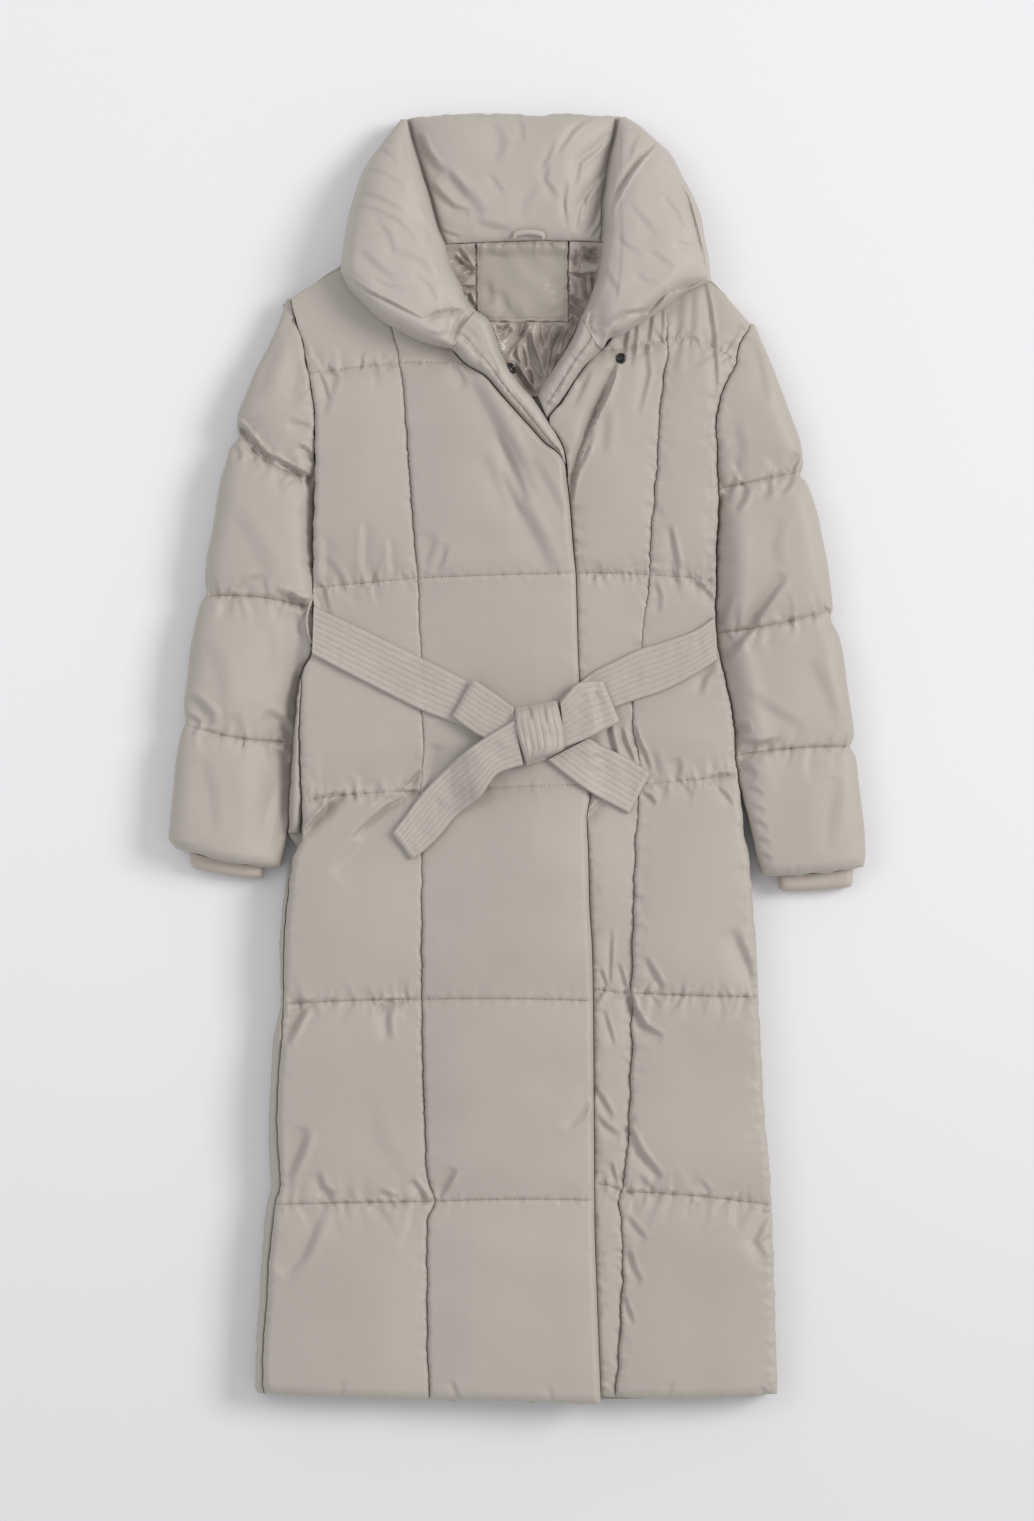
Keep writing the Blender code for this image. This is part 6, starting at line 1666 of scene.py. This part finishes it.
def turned(name, profile, place, axis, sides=40):
    """A closed enamelled body turned round an axis from a profile that starts and ends on it."""
    frame_of = Vector(axis).to_track_quat("Z", "Y").to_matrix()
    angle = 2 * np.pi * np.arange(sides) / sides
    points, rings = [], []
    for radius, height in profile:
        ring = [(radius * math.cos(a), radius * math.sin(a), height) for a in angle]
        ring = ring if radius else [(0, 0, height)]
        rings.append(list(range(len(points), len(points) + len(ring))))
        points += [tuple(frame_of @ Vector(p) + Vector(place)) for p in ring]
    faces = []
    for lower, upper in zip(rings[:-1], rings[1:]):
        for k in range(sides):
            n = (k + 1) % sides
            if len(lower) == 1:
                faces.append((lower[0], upper[n], upper[k]))
            elif len(upper) == 1:
                faces.append((lower[k], lower[n], upper[0]))
            else:
                faces.append((lower[k], lower[n], upper[n], upper[k]))
    return finish_piece(name, points, faces, stud_enamel, "snap_metal", name)


low = np.array(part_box("snap_ball")[0]) / MM
turned("snap_ball", BALL_PROFILE, (*SNAP_BALL, float(low[2]) + 0.6), (-0.55, 0.1, 1))
away = np.array([*SOCKET_AXIS, 0]) / np.hypot(*SOCKET_AXIS)
turned("snap_socket", SOCKET_PROFILE, tuple(np.array(SNAP_SOCKET) + (0, 0, 2) - 0.6 * away),
       tuple(away + (0, 0, 0.5)))

# %% [markdown]
# ## Zip teeth and stitches
# A nylon zip is set into the right facing's inner edge; only a few teeth can be seen. The stitches
# are short twisted dashes that sink into the cloth at both ends. On the real coat one is three
# millimetres long and a quarter of a millimetre thick; they are drawn thicker here so that they
# can be made out.

# %% Zip teeth
TOOTH_X, TOOTH_Y, TOOTH_Z = 1.1, 0.55, 0.6  # half sizes
TOOTH_STEP, ZIP_FROM, ZIP_TO, ZIP_LEVEL = 2.7, 421.0, 448.0, 47.5
points, faces = [], []
for y in np.arange(ZIP_FROM, ZIP_TO, TOOTH_STEP):
    x, a = float(leftright(FACING_R_INNER)(y)) + TOOTH_X, len(points)
    points += [(x + i * TOOTH_X, y + j * TOOTH_Y, ZIP_LEVEL + up * TOOTH_Z)
               for i, j in ((-1, -1), (1, -1), (1, 1), (-1, 1)) for up in (-1, 1)]
    faces += [(a, a + 2, a + 4, a + 6)[::-1], (a + 1, a + 3, a + 5, a + 7)]
    faces += [(a + i, a + (i + 2) % 8, a + (i + 3) % 8, a + i + 1) for i in range(0, 8, 2)]
finish_piece("zip_teeth", points, faces, zip_nylon, "snap_metal")


# %% Stitches
def dashes(name, runs, pitch, length, width, height, material, slot, seed):
    """Stitches along the runs, each a flat spindle that stands a little off the cloth."""
    rng = np.random.default_rng(seed)
    points, faces = [], []
    for run in runs:
        run = np.asarray(run, float)
        total = spans(run).sum()
        if total < pitch:
            continue
        places = np.arange(pitch / 2, total - pitch / 2, pitch)
        half = length / 2 * rng.uniform(0.75, 1.15, len(places))
        starts, ends = path(run, (places - half) / total), path(run, (places + half) / total)
        for a, b in zip(starts, ends):
            along = b - a
            side = np.array([-along[1], along[0], 0]) / max(np.hypot(*along[:2]), 1e-6) * width / 2
            middle, up = (a + b) / 2, np.array([0, 0, height])
            k = len(points)
            points += [a - up * 0.4, b - up * 0.4, middle - side, middle + side, middle + up,
                       middle - up]
            faces += [(k, k + 2, k + 4), (k + 2, k + 1, k + 4), (k + 1, k + 3, k + 4),
                      (k + 3, k, k + 4), (k + 2, k, k + 5), (k + 1, k + 2, k + 5),
                      (k + 3, k + 1, k + 5), (k, k + 3, k + 5)]
    finish_piece(name, points, faces, material, slot)


def surface_run(points, z, s, lift=0.25):
    """A run of stitching at share s across a grid of points."""
    place = s * (z.shape[1] - 1)
    k = min(int(place), z.shape[1] - 2)
    t = place - k
    flat = points[:, k] * (1 - t) + points[:, k + 1] * t
    return np.column_stack([flat, z[:, k] * (1 - t) + z[:, k + 1] * t + lift])


quilting = []
for panel, top in [(FRONTS[name], fronts[name]) for name in fronts] + list(sleeves.values()):
    middle_y = top[:, top.shape[1] // 2, 1]
    quilting += [top[int(np.argmin(np.abs(middle_y - level[1]))), 1:-1] + (0, 0, 0.2)
                 for level in panel.levels[1:-1]]
facing_runs = [surface_run(*run) for run in facing_stitches.values()]
belt_runs = [surface_run(points, z, k / BELT_RIBS, 0.2)
             for points, z in belt_tops.values() for k in range(1, BELT_RIBS)]
inner = patch_top[3:-2, 2:-2] + (0, 0, 0.2)
patch_runs = [inner[0], inner[:, 0], inner[:, -1], inner[-1]]
for name, runs, size, material, slot, seed in (  # size: pitch, length, width and height
    ("quilting_stitches", quilting, (4.6, 3.0, 0.75, 0.3), dark_thread, "shell", 161),
    ("facing_stitches", facing_runs, (3.6, 2.6, 0.6, 0.3), dark_thread, "collar_face", 162),
    ("belt_stitches", belt_runs, (3.2, 2.2, 0.5, 0.25), belt_thread, "belt", 163),
    ("patch_stitches", patch_runs, (3.2, 2.3, 0.5, 0.25), dark_thread, "shell", 164),
):
    dashes(name, runs, *size, material, slot, seed)

# %% [markdown]
# ## Floor, light and camera
# The coat lies on a plain pale floor, whose colour is painted darker towards its front as painted
# shade for the light's falloff, under a large soft light from its upper right, with a weaker one
# opposite and an even sky. The camera hangs straight above with a long lens.

# %% Floor
FLOOR_HALF, FLOOR_BELOW = 3200.0, 0.4
floor_mesh = bpy.data.meshes.new("floor")
floor_mesh.from_pydata([(i * FLOOR_HALF * MM, j * FLOOR_HALF * MM, -FLOOR_BELOW * MM)
                        for i, j in ((-1, -1), (1, -1), (1, 1), (-1, 1))], [], [(0, 1, 2, 3)])
floor_mesh.update()
floor_paint, tree, shader, place = new_material("floor_matt_paint", Roughness=0.85)
# Painted shade: the floor's colour darkens towards its front (-Y), standing in for the light's
# falloff; the large noise is random tone.
along = add(tree, "ShaderNodeSeparateXYZ", {0: place}).outputs["Y"]
roughness_spread_and_painted_floor_shade = add(tree, "ShaderNodeMapRange", {"Value": along, "From Min": -0.9, "From Max": 0.1,
           "To Min": 0.0, "To Max": 0.8}, interpolation_type="SMOOTHSTEP").outputs["Result"]
amount = reckon(tree, "MULTIPLY_ADD", noise(tree, place, 900, Detail=2.0), 0.3, roughness_spread_and_painted_floor_shade)
paint(tree, shader, amount, linear("dddddf"), linear("ebebed"))
floor_mesh.materials.append(floor_paint)
floor_piece = bpy.data.objects.new("floor", floor_mesh)
bpy.context.scene.collection.objects.link(floor_piece)
print("floor:", round(2 * FLOOR_HALF * MM, 1), "m across")

# %% Lights
def softbox(name, place, aim, size, watts, code):
    """A round soft light in metres and watts."""
    lamp = bpy.data.lights.new(name, "AREA")
    lamp.shape, lamp.size, lamp.energy, lamp.color = "DISK", size, watts, linear(code)[:3]
    holder = bpy.data.objects.new(name, lamp)
    bpy.context.scene.collection.objects.link(holder)
    holder.location = place
    holder.rotation_euler = (Vector(aim) - Vector(place)).to_track_quat("-Z", "Y").to_euler()


softbox("key_softbox", (6.5, 2.3, 6.1), (0, 0, 0), 4.0, 440, "fffdfb")
softbox("fill_softbox", (-2.6, 1.2, 5.0), (-0.4, 0, 0), 3.0, 42, "fbfbff")
world = bpy.data.worlds.new("studio_air")
bpy.context.scene.world = world
world.use_nodes = True
sky = world.node_tree.nodes["Background"].inputs
sky["Color"].default_value, sky["Strength"].default_value = linear("f7f7f9"), 0.64
bpy.context.scene.view_settings.view_transform = "Standard"
print("lamps:", [lamp.name for lamp in bpy.data.lights])

# %% Camera
FRAME_HEIGHT = 1581.8  # of the floor in the picture, at the coat's middle height
CAMERA_ABOVE, COAT_MIDDLE = 7000.0, 40.0
CAMERA_X, CAMERA_Y = -1.04, -2.6
camera = bpy.data.cameras.new("camera")
camera.sensor_width = 36
camera.lens = 36 * CAMERA_ABOVE / FRAME_HEIGHT
camera.clip_end = 50
eye = bpy.data.objects.new("camera", camera)
eye.location = (CAMERA_X * MM, CAMERA_Y * MM, (CAMERA_ABOVE + COAT_MIDDLE) * MM)
bpy.context.scene.collection.objects.link(eye)
bpy.context.scene.camera = eye
print("lens:", round(camera.lens), "mm")

# %% Scene update
bpy.context.view_layer.update()
